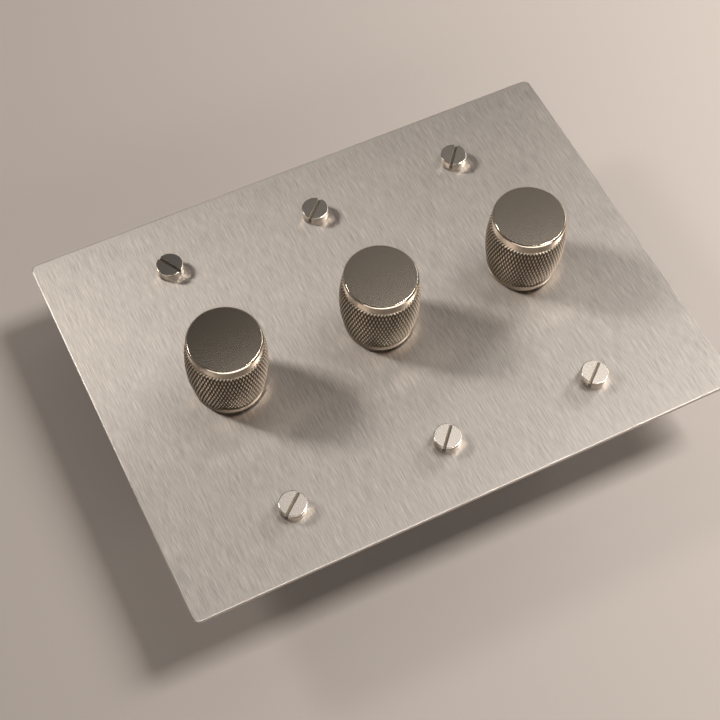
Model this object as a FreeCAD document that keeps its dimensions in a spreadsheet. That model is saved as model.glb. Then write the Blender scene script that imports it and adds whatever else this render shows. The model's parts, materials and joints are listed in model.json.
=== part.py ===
import FreeCAD, Part
import math
import os

import Sketcher
from FreeCAD import Placement, Rotation, Vector

# Three-gang rotary dimmer switch: one metal face plate with three push-and-turn dimmer modules behind it.
# +X runs along the plate's long side, +Y up the plate, +Z out of the wall.
# The origin is under the plate's centre, in the plane of the modules' backs.

# Driving dimensions, in millimetres and degrees
SIZES = [
    ("PlateLength", 164.0, "face plate along its long side"),
    ("PlateWidth", 120.0, "face plate along its short side"),
    ("PlateThickness", 1.2, "face plate sheet"),
    ("PlateCorner", 2.0, "radius of the plate's corners"),
    ("PlateEdge", 0.2, "bevel round the front of the plate"),
    ("FaceHeight", 30.0, "front of the plate above the modules' backs"),
    ("GangPitch", 46.04, "centre to centre of neighbouring modules"),
    ("ScrewRows", 83.34, "upper to lower row of face screws"),
    ("ScrewRadius", 1.75, "face screw shank"),
    ("ScrewLength", 24.0, "face screw shank below its head"),
    ("ScrewNeckRadius", 1.5, "thinner neck of a face screw, where its retainer holds it"),
    ("ScrewHeadRadius", 3.85, "face screw head"),
    ("ScrewHeadHeight", 3.3, "face screw head"),
    ("ScrewHeadBevel", 0.25, "bevel round a face screw head"),
    ("ScrewSlotWidth", 0.9, "screwdriver slot of a face screw"),
    ("ScrewSlotDepth", 1.2, "screwdriver slot of a face screw"),
    ("SlotTurnTopLeft", 119.4, "direction of this screw's slot from +X"),
    ("SlotTurnTopMiddle", 42.1, "direction of this screw's slot from +X"),
    ("SlotTurnTopRight", 50.8, "direction of this screw's slot from +X"),
    ("SlotTurnLowLeft", 38.8, "direction of this screw's slot from +X"),
    ("SlotTurnLowMiddle", 47.9, "direction of this screw's slot from +X"),
    ("SlotTurnLowRight", 39.8, "direction of this screw's slot from +X"),
    ("RetainerWidth", 9.0, "square fibre washer that keeps a face screw in"),
    ("RetainerThickness", 0.8, "square fibre washer that keeps a face screw in"),
    ("KnobGap", 1.2, "knob above the plate when it is out"),
    ("CrownHeight", 2.9, "smooth top of the knob above the knurl"),
    ("CrownRadius", 10.4, "smooth top of the knob"),
    ("CrownBevel", 0.55, "bright bevel round the knob's top face"),
    ("KnurlHeight", 17.9, "knurled band of the knob"),
    ("KnurlTopRadius", 10.85, "points of the knurl at its upper end"),
    ("KnurlBellyRadius", 11.4, "points of the knurl at its widest"),
    ("KnurlBellyHeight", 10.0, "widest place above the band's lower end"),
    ("KnurlFootRadius", 10.0, "points of the knurl at its lower end"),
    ("KnurlDepth", 0.4, "grooves of the knurl"),
    ("KnurlTeeth", 70, "points round the knurl"),
    ("KnurlRows", 12, "rows of points up the knurl, half a tooth apart"),
    ("RimHeight", 0.35, "thin smooth rim under the knurl"),
    ("RimProud", 0.05, "smooth rim outside the knurl's lowest points"),
    ("CollarHeight", 1.95, "smooth neck under the rim"),
    ("CollarRadius", 9.7, "smooth neck under the rim"),
    ("KnobHollowRadius", 8.6, "recess under the knob that takes the nut"),
    ("KnobHollowHeight", 5.2, "recess under the knob that takes the nut"),
    ("InsertRadius", 4.6, "plastic insert inside the knob"),
    ("InsertHeight", 14.0, "plastic insert inside the knob"),
    ("ShaftRadius", 3.0, "spindle"),
    ("ShaftFlat", 2.2, "flat of the spindle from its axis"),
    ("ShaftCollarRadius", 3.8, "collar that stops the spindle coming out"),
    ("ShaftCollarHeight", 1.0, "collar that stops the spindle coming out"),
    ("PushTravel", 0.9, "spindle travel to click the switch"),
    ("TurnRange", 270.0, "spindle turn from off to full"),
    ("BushRadius", 5.0, "threaded bush"),
    ("BushProud", 4.2, "threaded bush above the plate's front"),
    ("BushFlange", 1.2, "square flange of the bush"),
    ("BushFlangeWidth", 18.0, "square flange of the bush"),
    ("BushChamfer", 0.5, "lead-in at the end of the bush"),
    ("WasherRadius", 8.0, "washer under the bush nut"),
    ("WasherThickness", 0.6, "washer under the bush nut"),
    ("NutRadius", 8.0, "bush nut across its corners, halved"),
    ("NutHeight", 2.4, "bush nut"),
    ("StrapGap", 3.04, "space between neighbouring straps"),
    ("StrapThickness", 1.5, "mounting strap sheet"),
    ("StrapLength", 105.0, "mounting strap from end to end"),
    ("StrapEarWidth", 24.0, "narrow ends of the mounting strap"),
    ("StrapCorner", 2.0, "corners of the mounting strap's ends"),
    ("StrapSlotLength", 8.0, "levelling slot for a face screw"),
    ("HousingGap", 4.04, "space between neighbouring housings"),
    ("HousingLength", 66.0, "housing up the plate"),
    ("HousingWall", 1.8, "housing side walls"),
    ("HousingFloor", 1.8, "housing back wall"),
    ("HousingCorner", 3.0, "upright corners of the housing"),
    ("ColumnRadius", 3.4, "screw columns inside the housing"),
    ("ColumnInset", 2.8, "column axis in from the housing's inner walls"),
    ("ColumnLowPlace", 17.0, "lower pair of columns below the spindle axis"),
    ("CaseScrewRadius", 1.45, "screws from the housing into the strap"),
    ("CaseScrewHeadRadius", 2.5, "screws from the housing into the strap"),
    ("CaseScrewHeadHeight", 1.6, "screws from the housing into the strap"),
    ("CaseScrewSink", 0.3, "case screw heads below the housing's back"),
    ("BoardStandoff", 3.2, "circuit board above the housing's back wall"),
    ("BoardThickness", 1.6, "circuit board"),
    ("PostRadius", 1.6, "posts that carry the circuit board"),
    ("PostSpacing", 24.0, "board posts across the housing"),
    ("PostRun", 34.0, "board posts along the housing"),
    ("ControlWidth", 20.0, "square case of the turning control"),
    ("ControlHeight", 9.0, "square case of the turning control"),
    ("ControlFloor", 2.0, "floor of the control case"),
    ("ControlHollowRadius", 8.2, "round chamber of the control case"),
    ("StopInnerRadius", 5.1, "end stop inside the control case"),
    ("StopClearance", 2.0, "angle left between the rotor's lug and its stop"),
    ("RotorRadius", 7.7, "wiper rotor"),
    ("RotorDisc", 1.8, "wiper rotor disc"),
    ("RotorHubRadius", 4.6, "wiper rotor hub"),
    ("RotorHeight", 4.4, "wiper rotor with its hub"),
    ("LugAngle", 24.0, "lug of the wiper rotor"),
    ("SwitchWidth", 14.0, "square case of the push switch"),
    ("SwitchHollowRadius", 4.6, "bore of the push switch"),
    ("SwitchRoof", 1.0, "top wall of the push switch"),
    ("PlungerRadius", 2.5, "stem of the switch plunger"),
    ("PlungerFlangeRadius", 4.0, "flange of the switch plunger"),
    ("PlungerFlange", 1.5, "flange of the switch plunger"),
    ("SpringRadius", 3.0, "switch spring at the middle of its wire"),
    ("SpringWire", 0.35, "switch spring wire, halved"),
    ("SpringTurns", 5.0, "switch spring"),
    ("TriacPlaceX", 8.0, "power device to the right of the spindle axis"),
    ("TriacPlaceY", 12.0, "power device above the spindle axis"),
    ("TriacWidth", 10.0, "power device"),
    ("TriacLength", 9.2, "moulded body of the power device"),
    ("TriacHeight", 4.4, "moulded body of the power device"),
    ("TriacTabLength", 6.3, "metal tab of the power device"),
    ("TriacTabThickness", 1.3, "metal tab of the power device"),
    ("TriacTabHole", 1.8, "hole in the power device's tab"),
    ("TriacLegWidth", 0.8, "legs of the power device"),
    ("TriacLegPitch", 2.54, "legs of the power device"),
    ("TriacLegReach", 1.2, "legs out of the power device before they bend"),
    ("ChokePlaceX", 7.5, "choke to the left of the spindle axis"),
    ("ChokePlaceY", 18.5, "choke above the spindle axis"),
    ("ChokeRadius", 8.4, "wound ring of the choke"),
    ("ChokeBore", 3.2, "hole through the choke"),
    ("ChokeHeight", 7.6, "wound ring of the choke"),
    ("ChokeRound", 2.0, "rounding of the choke's winding"),
    ("CapacitorPlace", 14.6, "capacitor below the spindle axis"),
    ("CapacitorLength", 18.0, "capacitor across the housing"),
    ("CapacitorWidth", 7.6, "capacitor along the housing"),
    ("CapacitorHeight", 9.5, "capacitor above the board"),
    ("CapacitorRound", 0.8, "upright edges of the capacitor"),
    ("TerminalDepth", 10.0, "terminal block along the housing"),
    ("TerminalWidth", 33.0, "terminal block across the housing"),
    ("TerminalHeight", 12.0, "terminal block"),
    ("TerminalPitch", 10.5, "terminal to terminal"),
    ("WireHoleRadius", 1.7, "wire entries"),
    ("WireHoleHeight", 7.0, "wire entries above the terminal block's base"),
    ("WireHoleDepth", 8.0, "wire entries into the terminal block"),
    ("ClampScrewRadius", 1.5, "terminal screws"),
    ("ClampScrewHeadRadius", 2.4, "terminal screws"),
    ("ClampScrewHeadHeight", 1.6, "terminal screws"),
    ("EarthPlaceX", 8.2, "earth screw beside the strap's centre line"),
    ("EarthPlaceY", 46.0, "earth screw below the spindle axis"),
    ("EarthScrewRadius", 1.75, "earth screw"),
    ("EarthHeadRadius", 3.4, "earth screw head"),
    ("EarthHeadHeight", 2.0, "earth screw head"),
    ("RunningFit", 0.05, "radial clearance of turning and screwed fits"),
    ("EndGap", 0.1, "clearance between pieces that move end to end"),
    ("LooseGap", 0.3, "clearance of pieces that only pass or lie beside"),
]

# Heights above the modules' backs, worked out from the driving dimensions
PLATE_BACK = "(Sizes.FaceHeight - Sizes.PlateThickness)"
STRAP_BACK = f"({PLATE_BACK} - Sizes.StrapThickness)"
SCREW_NECK = f"(Sizes.FaceHeight - {STRAP_BACK} + Sizes.RetainerThickness + Sizes.LooseGap)"
BUSH_SEAT = f"({STRAP_BACK} - Sizes.BushFlange)"
CONTROL_BACK = f"({BUSH_SEAT} - Sizes.ControlHeight)"
BOARD_BACK = "(Sizes.HousingFloor + Sizes.BoardStandoff)"
BOARD_TOP = f"({BOARD_BACK} + Sizes.BoardThickness)"
KNOB_FOOT = "(Sizes.FaceHeight + Sizes.KnobGap)"
KNURL_FOOT = "(Sizes.CollarHeight + Sizes.RimHeight)"
KNURL_TOP = f"({KNURL_FOOT} + Sizes.KnurlHeight)"
SHAFT_END = f"({CONTROL_BACK} + Sizes.PushTravel + Sizes.EndGap)"
SHAFT_LENGTH = f"({KNOB_FOOT} + Sizes.KnobHollowHeight + Sizes.InsertHeight - {SHAFT_END})"
SHAFT_COLLAR = f"({BUSH_SEAT} - 2 * Sizes.EndGap - Sizes.ShaftCollarHeight - {SHAFT_END})"
SWITCH_HEIGHT = f"({CONTROL_BACK} - {BOARD_TOP})"
PLUNGER_FOOT = f"({CONTROL_BACK} - Sizes.SwitchRoof - Sizes.EndGap - Sizes.PlungerFlange)"
PLUNGER_LENGTH = f"({SHAFT_END} - Sizes.EndGap - {PLUNGER_FOOT})"

# Widths and places across one module
STRAP_WIDTH = "(Sizes.GangPitch - Sizes.StrapGap)"
HOUSING_WIDTH = "(Sizes.GangPitch - Sizes.HousingGap)"
INNER_WIDTH = f"({HOUSING_WIDTH} - 2 * Sizes.HousingWall)"
INNER_LENGTH = "(Sizes.HousingLength - 2 * Sizes.HousingWall)"
COLUMN_X = f"({INNER_WIDTH} / 2 - Sizes.ColumnInset)"
COLUMN_HIGH = f"({INNER_LENGTH} / 2 - Sizes.ColumnInset)"
BOARD_WIDTH = f"({INNER_WIDTH} - 2 * Sizes.LooseGap)"
BOARD_LENGTH = f"({INNER_LENGTH} - Sizes.TerminalDepth - Sizes.LooseGap)"
BOARD_Y = "((Sizes.TerminalDepth - Sizes.LooseGap) / 2)"
TERMINAL_Y = f"(Sizes.TerminalDepth / 2 - {INNER_LENGTH} / 2)"

GANGS = {"left": "-Sizes.GangPitch", "middle": "0", "right": "Sizes.GangPitch"}
FACE_SCREWS = [
    ("left", 1, "SlotTurnTopLeft"),
    ("middle", 1, "SlotTurnTopMiddle"),
    ("right", 1, "SlotTurnTopRight"),
    ("left", -1, "SlotTurnLowLeft"),
    ("middle", -1, "SlotTurnLowMiddle"),
    ("right", -1, "SlotTurnLowRight"),
]

doc = FreeCAD.newDocument("RotaryDimmerSwitch")
sheet = doc.addObject("Spreadsheet::Sheet", "Sizes")
for row, (alias, number, meaning) in enumerate(SIZES, start=1):
    sheet.set(f"A{row}", alias)
    sheet.set(f"B{row}", str(number))
    sheet.set(f"C{row}", meaning)
    sheet.setAlias(f"B{row}", alias)
doc.recompute()

NODES = []


def value(expression):
    """The number that an expression on the sheet has now."""
    return float(sheet.evalExpression(expression))


def place(item, x, y, z):
    """Binds an object's position to three expressions."""
    for axis, expression in zip("xyz", (x, y, z)):
        item.setExpression(f"Placement.Base.{axis}", expression)


def keep(item, name):
    """Names an object as one of the sub-parts that are written out."""
    item.Label = name
    NODES.append(item)
    return item


def start_body(name, x="0", y="0", z="0"):
    body = doc.addObject("PartDesign::Body", name)
    place(body, x, y, z)
    return body


def start_sketch(body, name, height="0", plane="XY_Plane"):
    """A sketch on one of the body's own planes, moved along the plane's normal by height."""
    sketch = body.newObject("Sketcher::SketchObject", f"{body.Name}_{name}")
    support = next(item for item in body.Origin.OriginFeatures if item.Role == plane)
    sketch.AttachmentSupport = [(support, "")]
    sketch.MapMode = "FlatFace"
    sketch.setExpression("AttachmentOffset.Base.z", height)
    return sketch


def set_size(sketch, constraint, expression):
    """Adds a dimension to a sketch and binds it to an expression."""
    index = sketch.addConstraint(Sketcher.Constraint(*constraint, value(expression)))
    sketch.setExpression(f"Constraints[{index}]", expression)


def draw_circle(sketch, radius, x="0", y="0"):
    centre = Vector(value(x), value(y), 0)
    index = sketch.addGeometry(Part.Circle(centre, Vector(0, 0, 1), value(radius)))
    set_size(sketch, ("DistanceX", index, 3), x)
    set_size(sketch, ("DistanceY", index, 3), y)
    set_size(sketch, ("Radius", index), radius)


def draw_outline(sketch, corners):
    """A closed outline. A corner with four values starts an arc through its second point."""
    places = [Vector(value(corner[0]), value(corner[1]), 0) for corner in corners]
    sides = []
    for number, corner in enumerate(corners):
        start = places[number]
        end = places[(number + 1) % len(corners)]
        if len(corner) == 2:
            sides.append((sketch.addGeometry(Part.LineSegment(start, end)), 1, 2))
            continue
        middle = Vector(value(corner[2]), value(corner[3]), 0)
        arc = sketch.addGeometry(Part.Arc(start, middle, end))
        from_first, from_last = (sketch.getPoint(arc, tip).distanceToPoint(start) for tip in (1, 2))
        sides.append((arc, 1, 2) if from_first < from_last else (arc, 2, 1))
        through = sketch.addGeometry(Part.Point(middle), True)
        set_size(sketch, ("DistanceX", through, 1), corner[2])
        set_size(sketch, ("DistanceY", through, 1), corner[3])
        sketch.addConstraint(Sketcher.Constraint("PointOnObject", through, 1, arc))
    for number, (side, start, end) in enumerate(sides):
        following, first, last = sides[(number + 1) % len(sides)]
        sketch.addConstraint(Sketcher.Constraint("Coincident", side, end, following, first))
        set_size(sketch, ("DistanceX", side, start), corners[number][0])
        set_size(sketch, ("DistanceY", side, start), corners[number][1])


def draw_rectangle(sketch, width, length, x="0", y="0"):
    left, right = f"{x} - ({width}) / 2", f"{x} + ({width}) / 2"
    low, high = f"{y} - ({length}) / 2", f"{y} + ({length}) / 2"
    draw_outline(sketch, [(left, low), (right, low), (right, high), (left, high)])


def draw_slot(sketch, length, radius, x="0", y="0"):
    """A slot along X with round ends."""
    left, right = f"{x} - ({length}) / 2 + ({radius})", f"{x} + ({length}) / 2 - ({radius})"
    low, high = f"{y} - ({radius})", f"{y} + ({radius})"
    corners = [
        (left, low),
        (right, low, f"{x} + ({length}) / 2", y),
        (right, high),
        (left, high, f"{x} - ({length}) / 2", y),
    ]
    draw_outline(sketch, corners)


def draw_flatted_circle(sketch, radius, flat):
    """A round shaft's section with one flat on its +X side."""
    half = f"sqrt(({radius}) ^ 2 - ({flat}) ^ 2)"
    draw_outline(sketch, [(flat, f"-{half}"), (flat, half, f"-({radius})", "0")])


def draw_sector(sketch, inner, outer, start, end):
    """A piece of a ring between two angles."""
    def point(radius, angle):
        return f"({radius}) * cos({angle})", f"({radius}) * sin({angle})"
    middle = f"({start} + {end}) / 2"
    corners = [
        point(inner, start),
        point(outer, start) + point(outer, middle),
        point(outer, end),
        point(inner, end) + point(inner, middle),
    ]
    draw_outline(sketch, corners)


def add_feature(body, kind, sketch):
    feature = body.newObject(f"PartDesign::{kind}", f"{sketch.Name}_{kind.lower()}")
    feature.Profile = sketch
    sketch.Visibility = False
    body.Tip = feature
    return feature


def pad(body, sketch, length):
    add_feature(body, "Pad", sketch).setExpression("Length", length)


def pocket(body, sketch, length, upwards=False):
    feature = add_feature(body, "Pocket", sketch)
    feature.setExpression("Length", length)
    feature.Reversed = upwards


def cut_through(body, sketch):
    feature = add_feature(body, "Pocket", sketch)
    feature.Type = "ThroughAll"
    feature.Midplane = True


def revolve(body, sketch):
    feature = add_feature(body, "Revolution", sketch)
    feature.ReferenceAxis = (sketch, ["V_Axis"])
    feature.Angle = 360


def dress(body, kind, name, size, wanted):
    """A fillet or chamfer on each edge of the body so far that wanted() accepts."""
    doc.recompute()
    base = body.Tip
    edges = [f"Edge{number}" for number, edge in enumerate(base.Shape.Edges, start=1) if wanted(edge)]
    feature = body.newObject(f"PartDesign::{kind}", f"{body.Name}_{name}")
    feature.Base = (base, edges)
    feature.setExpression("Radius" if kind == "Fillet" else "Size", size)
    body.Tip = feature


def is_upright(edge):
    return edge.BoundBox.XLength < 1e-6 and edge.BoundBox.YLength < 1e-6


def lies_at(height):
    """A test for edges that lie in the level plane at that height of the body's own frame."""
    return lambda edge: abs(edge.BoundBox.ZMin - height) < 1e-6 and abs(edge.BoundBox.ZMax - height) < 1e-6


def solid_cylinder(name, radius, height, x, y, z):
    item = doc.addObject("Part::Cylinder", name)
    item.setExpression("Radius", radius)
    item.setExpression("Height", height)
    place(item, x, y, z)
    return item


def solid_box(name, width, length, height, x, y, z):
    """A box whose x and y give its centre and z its underside."""
    item = doc.addObject("Part::Box", name)
    item.setExpression("Length", width)
    item.setExpression("Width", length)
    item.setExpression("Height", height)
    place(item, f"{x} - ({width}) / 2", f"{y} - ({length}) / 2", z)
    return item


def cut(name, base, tool):
    item = doc.addObject("Part::Cut", name)
    item.Base = base
    item.Tool = tool
    return item


def fuse(name, pieces):
    item = doc.addObject("Part::MultiFuse", name)
    item.Shapes = pieces
    item.Refine = True
    return item


def group(name, pieces):
    """Like pieces, such as a set of screws, kept together as separate solids."""
    item = doc.addObject("Part::Compound", name)
    item.Links = pieces
    return keep(item, name)


def slotted_screw(name, radius, length, head_radius, head_height, x, y, head_face):
    """A small screw that points up, with a slot across the face of its head."""
    head = solid_cylinder(f"{name}_head", head_radius, head_height, x, y, head_face)
    shank = solid_cylinder(f"{name}_shank", radius, length, x, y, f"{head_face} + {head_height}")
    slot_width, slot_depth = f"{radius} / 2", f"{head_height} / 2"
    slot = solid_box(f"{name}_slot", f"2 * {head_radius}", slot_width, slot_depth, x, y, head_face)
    return cut(name, fuse(f"{name}_blank", [head, shank]), slot)


def make_face_plate():
    body = start_body("face_plate", z=PLATE_BACK)
    outline = start_sketch(body, "outline")
    draw_rectangle(outline, "Sizes.PlateLength", "Sizes.PlateWidth")
    pad(body, outline, "Sizes.PlateThickness")
    dress(body, "Fillet", "corners", "Sizes.PlateCorner", is_upright)
    dress(body, "Chamfer", "edge", "Sizes.PlateEdge", lies_at(value("Sizes.PlateThickness")))
    holes = start_sketch(body, "holes")
    for x in GANGS.values():
        draw_circle(holes, "Sizes.BushRadius + Sizes.LooseGap", x)
        for side in ("", "-"):
            draw_circle(holes, "Sizes.ScrewRadius + Sizes.LooseGap", x, f"{side}Sizes.ScrewRows / 2")
    cut_through(body, holes)
    keep(body, "face_plate")


def make_face_screws():
    """Six captive slotted cheese-head screws, each turned as its slot shows."""
    screws = []
    for gang, row, turn in FACE_SCREWS:
        name = f"face_screw_{gang}_{'upper' if row > 0 else 'lower'}"
        body = start_body(name, GANGS[gang], f"{row} * Sizes.ScrewRows / 2", "Sizes.FaceHeight")
        body.Placement = Placement(body.Placement.Base, Rotation(Vector(0, 0, 1), value(f"Sizes.{turn}")))
        body.setExpression("Placement.Rotation.Angle", f"Sizes.{turn}")
        profile = start_sketch(body, "profile", plane="XZ_Plane")
        corners = [
            ("0", "-Sizes.ScrewLength"),
            ("Sizes.ScrewRadius", "-Sizes.ScrewLength"),
            ("Sizes.ScrewRadius", f"-{SCREW_NECK}"),
            ("Sizes.ScrewNeckRadius", f"-{SCREW_NECK}"),
            ("Sizes.ScrewNeckRadius", "0"),
            ("Sizes.ScrewHeadRadius", "0"),
            ("Sizes.ScrewHeadRadius", "Sizes.ScrewHeadHeight - Sizes.ScrewHeadBevel"),
            ("Sizes.ScrewHeadRadius - Sizes.ScrewHeadBevel", "Sizes.ScrewHeadHeight"),
            ("0", "Sizes.ScrewHeadHeight"),
        ]
        draw_outline(profile, corners)
        revolve(body, profile)
        slot = start_sketch(body, "slot", "Sizes.ScrewHeadHeight")
        draw_rectangle(slot, "3 * Sizes.ScrewHeadRadius", "Sizes.ScrewSlotWidth")
        pocket(body, slot, "Sizes.ScrewSlotDepth")
        screws.append(body)
    group("face_screws", screws)


def make_screw_retainers():
    """Square fibre washers that hold the face screws in the straps."""
    washers = []
    z = f"{STRAP_BACK} - Sizes.RetainerThickness"
    for gang, row, _ in FACE_SCREWS:
        name = f"retainer_{gang}_{'upper' if row > 0 else 'lower'}"
        x, y = GANGS[gang], f"{row} * Sizes.ScrewRows / 2"
        width, thickness = "Sizes.RetainerWidth", "Sizes.RetainerThickness"
        sheet_piece = solid_box(f"{name}_sheet", width, width, thickness, x, y, z)
        hole = solid_cylinder(f"{name}_hole", "Sizes.ScrewNeckRadius + Sizes.RunningFit", thickness, x, y, z)
        washers.append(cut(name, sheet_piece, hole))
    group("screw_retainers", washers)


def make_bush_washers():
    washers = []
    hole_radius = "Sizes.BushRadius + Sizes.RunningFit"
    thickness, foot = "Sizes.WasherThickness", "Sizes.FaceHeight"
    for gang, x in GANGS.items():
        name = f"bush_washer_{gang}"
        disc = solid_cylinder(f"{name}_disc", "Sizes.WasherRadius", thickness, x, "0", foot)
        hole = solid_cylinder(f"{name}_hole", hole_radius, thickness, x, "0", foot)
        washers.append(cut(name, disc, hole))
    group("bush_washers", washers)


def make_bush_nuts():
    nuts = []
    hole_radius = "Sizes.BushRadius + Sizes.RunningFit"
    foot = "Sizes.FaceHeight + Sizes.WasherThickness"
    for gang, x in GANGS.items():
        name = f"bush_nut_{gang}"
        blank = doc.addObject("Part::Prism", f"{name}_blank")
        blank.Polygon = 6
        blank.setExpression("Circumradius", "Sizes.NutRadius")
        blank.setExpression("Height", "Sizes.NutHeight")
        place(blank, x, "0", foot)
        hole = solid_cylinder(f"{name}_hole", hole_radius, "Sizes.NutHeight", x, "0", foot)
        nuts.append(cut(name, blank, hole))
    group("bush_nuts", nuts)


def make_case_screws():
    """Screws through the housings' columns into the straps."""
    screws = []
    head_top = "(Sizes.CaseScrewSink + Sizes.CaseScrewHeadHeight)"
    length = f"({PLATE_BACK} - Sizes.EndGap - {head_top})"
    for gang, x in GANGS.items():
        for side in (-1, 1):
            for end, y in (("upper", COLUMN_HIGH), ("lower", "-Sizes.ColumnLowPlace")):
                name = f"case_screw_{gang}_{end}_{'left' if side < 0 else 'right'}"
                screws.append(slotted_screw(
                    name, "Sizes.CaseScrewRadius", length,
                    "Sizes.CaseScrewHeadRadius", "Sizes.CaseScrewHeadHeight",
                    f"{x} + {side} * {COLUMN_X}", y, "Sizes.CaseScrewSink"))
    group("case_screws", screws)


def make_terminal_screws():
    screws = []
    length = "(Sizes.WireHoleHeight - Sizes.ClampScrewHeadHeight)"
    for gang, x in GANGS.items():
        for number in (-1, 0, 1):
            name = f"terminal_screw_{gang}_{number + 2}"
            screws.append(slotted_screw(
                name, "Sizes.ClampScrewRadius", length,
                "Sizes.ClampScrewHeadRadius", "Sizes.ClampScrewHeadHeight",
                f"{x} + {number} * Sizes.TerminalPitch", TERMINAL_Y, "Sizes.HousingFloor"))
    group("terminal_screws", screws)


def make_earth_screws():
    screws = []
    for gang, x in GANGS.items():
        screws.append(slotted_screw(
            f"earth_screw_{gang}", "Sizes.EarthScrewRadius", "Sizes.StrapThickness",
            "Sizes.EarthHeadRadius", "Sizes.EarthHeadHeight",
            f"{x} + Sizes.EarthPlaceX", "-Sizes.EarthPlaceY", f"{STRAP_BACK} - Sizes.EarthHeadHeight"))
    group("earth_screws", screws)


def make_strap(gang, x):
    """The module's mounting strap, which also spreads the power device's heat."""
    name = f"mounting_strap_{gang}"
    body = start_body(name, x, z=STRAP_BACK)
    outline = start_sketch(body, "outline")
    wide, ear = f"{STRAP_WIDTH} / 2", "Sizes.StrapEarWidth / 2"
    shoulder, tip = "Sizes.HousingLength / 2", "Sizes.StrapLength / 2"
    corners = [
        (f"-{ear}", f"-{tip}"), (ear, f"-{tip}"), (ear, f"-{shoulder}"),
        (wide, f"-{shoulder}"), (wide, shoulder), (ear, shoulder),
        (ear, tip), (f"-{ear}", tip), (f"-{ear}", shoulder),
        (f"-{wide}", shoulder), (f"-{wide}", f"-{shoulder}"), (f"-{ear}", f"-{shoulder}"),
    ]
    draw_outline(outline, corners)
    pad(body, outline, "Sizes.StrapThickness")
    dress(body, "Fillet", "corners", "Sizes.StrapCorner", is_upright)
    holes = start_sketch(body, "holes")
    draw_circle(holes, "Sizes.BushRadius + Sizes.RunningFit")
    slot_radius = "Sizes.ScrewRadius + Sizes.LooseGap"
    for side in (-1, 1):
        draw_slot(holes, "Sizes.StrapSlotLength", slot_radius, "0", f"{side} * Sizes.ScrewRows / 2")
        for y in (COLUMN_HIGH, "-Sizes.ColumnLowPlace"):
            draw_circle(holes, "Sizes.CaseScrewRadius + Sizes.RunningFit", f"{side} * {COLUMN_X}", y)
    earth_hole = "Sizes.EarthScrewRadius + Sizes.RunningFit"
    draw_circle(holes, earth_hole, "Sizes.EarthPlaceX", "-Sizes.EarthPlaceY")
    cut_through(body, holes)
    keep(body, name)


def make_housing(gang, x):
    """The moulded back of one module, open to the front, where the strap closes it."""
    name = f"housing_{gang}"
    body = start_body(name, x)
    outline = start_sketch(body, "outline")
    draw_rectangle(outline, HOUSING_WIDTH, "Sizes.HousingLength")
    pad(body, outline, STRAP_BACK)
    dress(body, "Fillet", "corners", "Sizes.HousingCorner", is_upright)
    hollow = start_sketch(body, "hollow", STRAP_BACK)
    draw_rectangle(hollow, INNER_WIDTH, INNER_LENGTH)
    pocket(body, hollow, f"{STRAP_BACK} - Sizes.HousingFloor")
    columns = start_sketch(body, "columns", "Sizes.HousingFloor")
    bores = start_sketch(body, "bores")
    sinks = start_sketch(body, "sinks")
    posts = start_sketch(body, "posts", "Sizes.HousingFloor")
    for side in (-1, 1):
        for y in (COLUMN_HIGH, "-Sizes.ColumnLowPlace"):
            draw_circle(columns, "Sizes.ColumnRadius", f"{side} * {COLUMN_X}", y)
            draw_circle(bores, "Sizes.CaseScrewRadius + Sizes.RunningFit", f"{side} * {COLUMN_X}", y)
            draw_circle(sinks, "Sizes.CaseScrewHeadRadius + Sizes.LooseGap", f"{side} * {COLUMN_X}", y)
        for end in (-1, 1):
            post_x, post_y = f"{side} * Sizes.PostSpacing / 2", f"{BOARD_Y} + {end} * Sizes.PostRun / 2"
            draw_circle(posts, "Sizes.PostRadius", post_x, post_y)
    pad(body, columns, f"{STRAP_BACK} - Sizes.HousingFloor")
    pad(body, posts, "Sizes.BoardStandoff")
    cut_through(body, bores)
    pocket(body, sinks, "Sizes.CaseScrewSink + Sizes.CaseScrewHeadHeight", upwards=True)
    driver_holes = start_sketch(body, "driver_holes")
    wire_holes = start_sketch(body, "wire_holes", "Sizes.HousingLength / 2", "XZ_Plane")
    for number in (-1, 0, 1):
        across = f"{number} * Sizes.TerminalPitch"
        draw_circle(driver_holes, "Sizes.ClampScrewHeadRadius + Sizes.LooseGap", across, TERMINAL_Y)
        draw_circle(wire_holes, "Sizes.WireHoleRadius", across, "Sizes.HousingFloor + Sizes.WireHoleHeight")
    pocket(body, driver_holes, "Sizes.HousingFloor", upwards=True)
    pocket(body, wire_holes, "Sizes.HousingWall")
    keep(body, name)


def make_terminal_block(gang, x):
    name = f"terminal_block_{gang}"
    body = start_body(name, x, TERMINAL_Y, "Sizes.HousingFloor")
    outline = start_sketch(body, "outline")
    draw_rectangle(outline, "Sizes.TerminalWidth", "Sizes.TerminalDepth")
    pad(body, outline, "Sizes.TerminalHeight")
    bores = start_sketch(body, "bores")
    sinks = start_sketch(body, "sinks")
    wires = start_sketch(body, "wires", "Sizes.TerminalDepth / 2", "XZ_Plane")
    for number in (-1, 0, 1):
        across = f"{number} * Sizes.TerminalPitch"
        draw_circle(bores, "Sizes.ClampScrewRadius + Sizes.RunningFit", across)
        draw_circle(sinks, "Sizes.ClampScrewHeadRadius + Sizes.RunningFit", across)
        draw_circle(wires, "Sizes.WireHoleRadius", across, "Sizes.WireHoleHeight")
    pocket(body, bores, "Sizes.WireHoleHeight + Sizes.EndGap", upwards=True)
    pocket(body, sinks, "Sizes.ClampScrewHeadHeight", upwards=True)
    pocket(body, wires, "Sizes.WireHoleDepth")
    keep(body, name)


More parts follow.
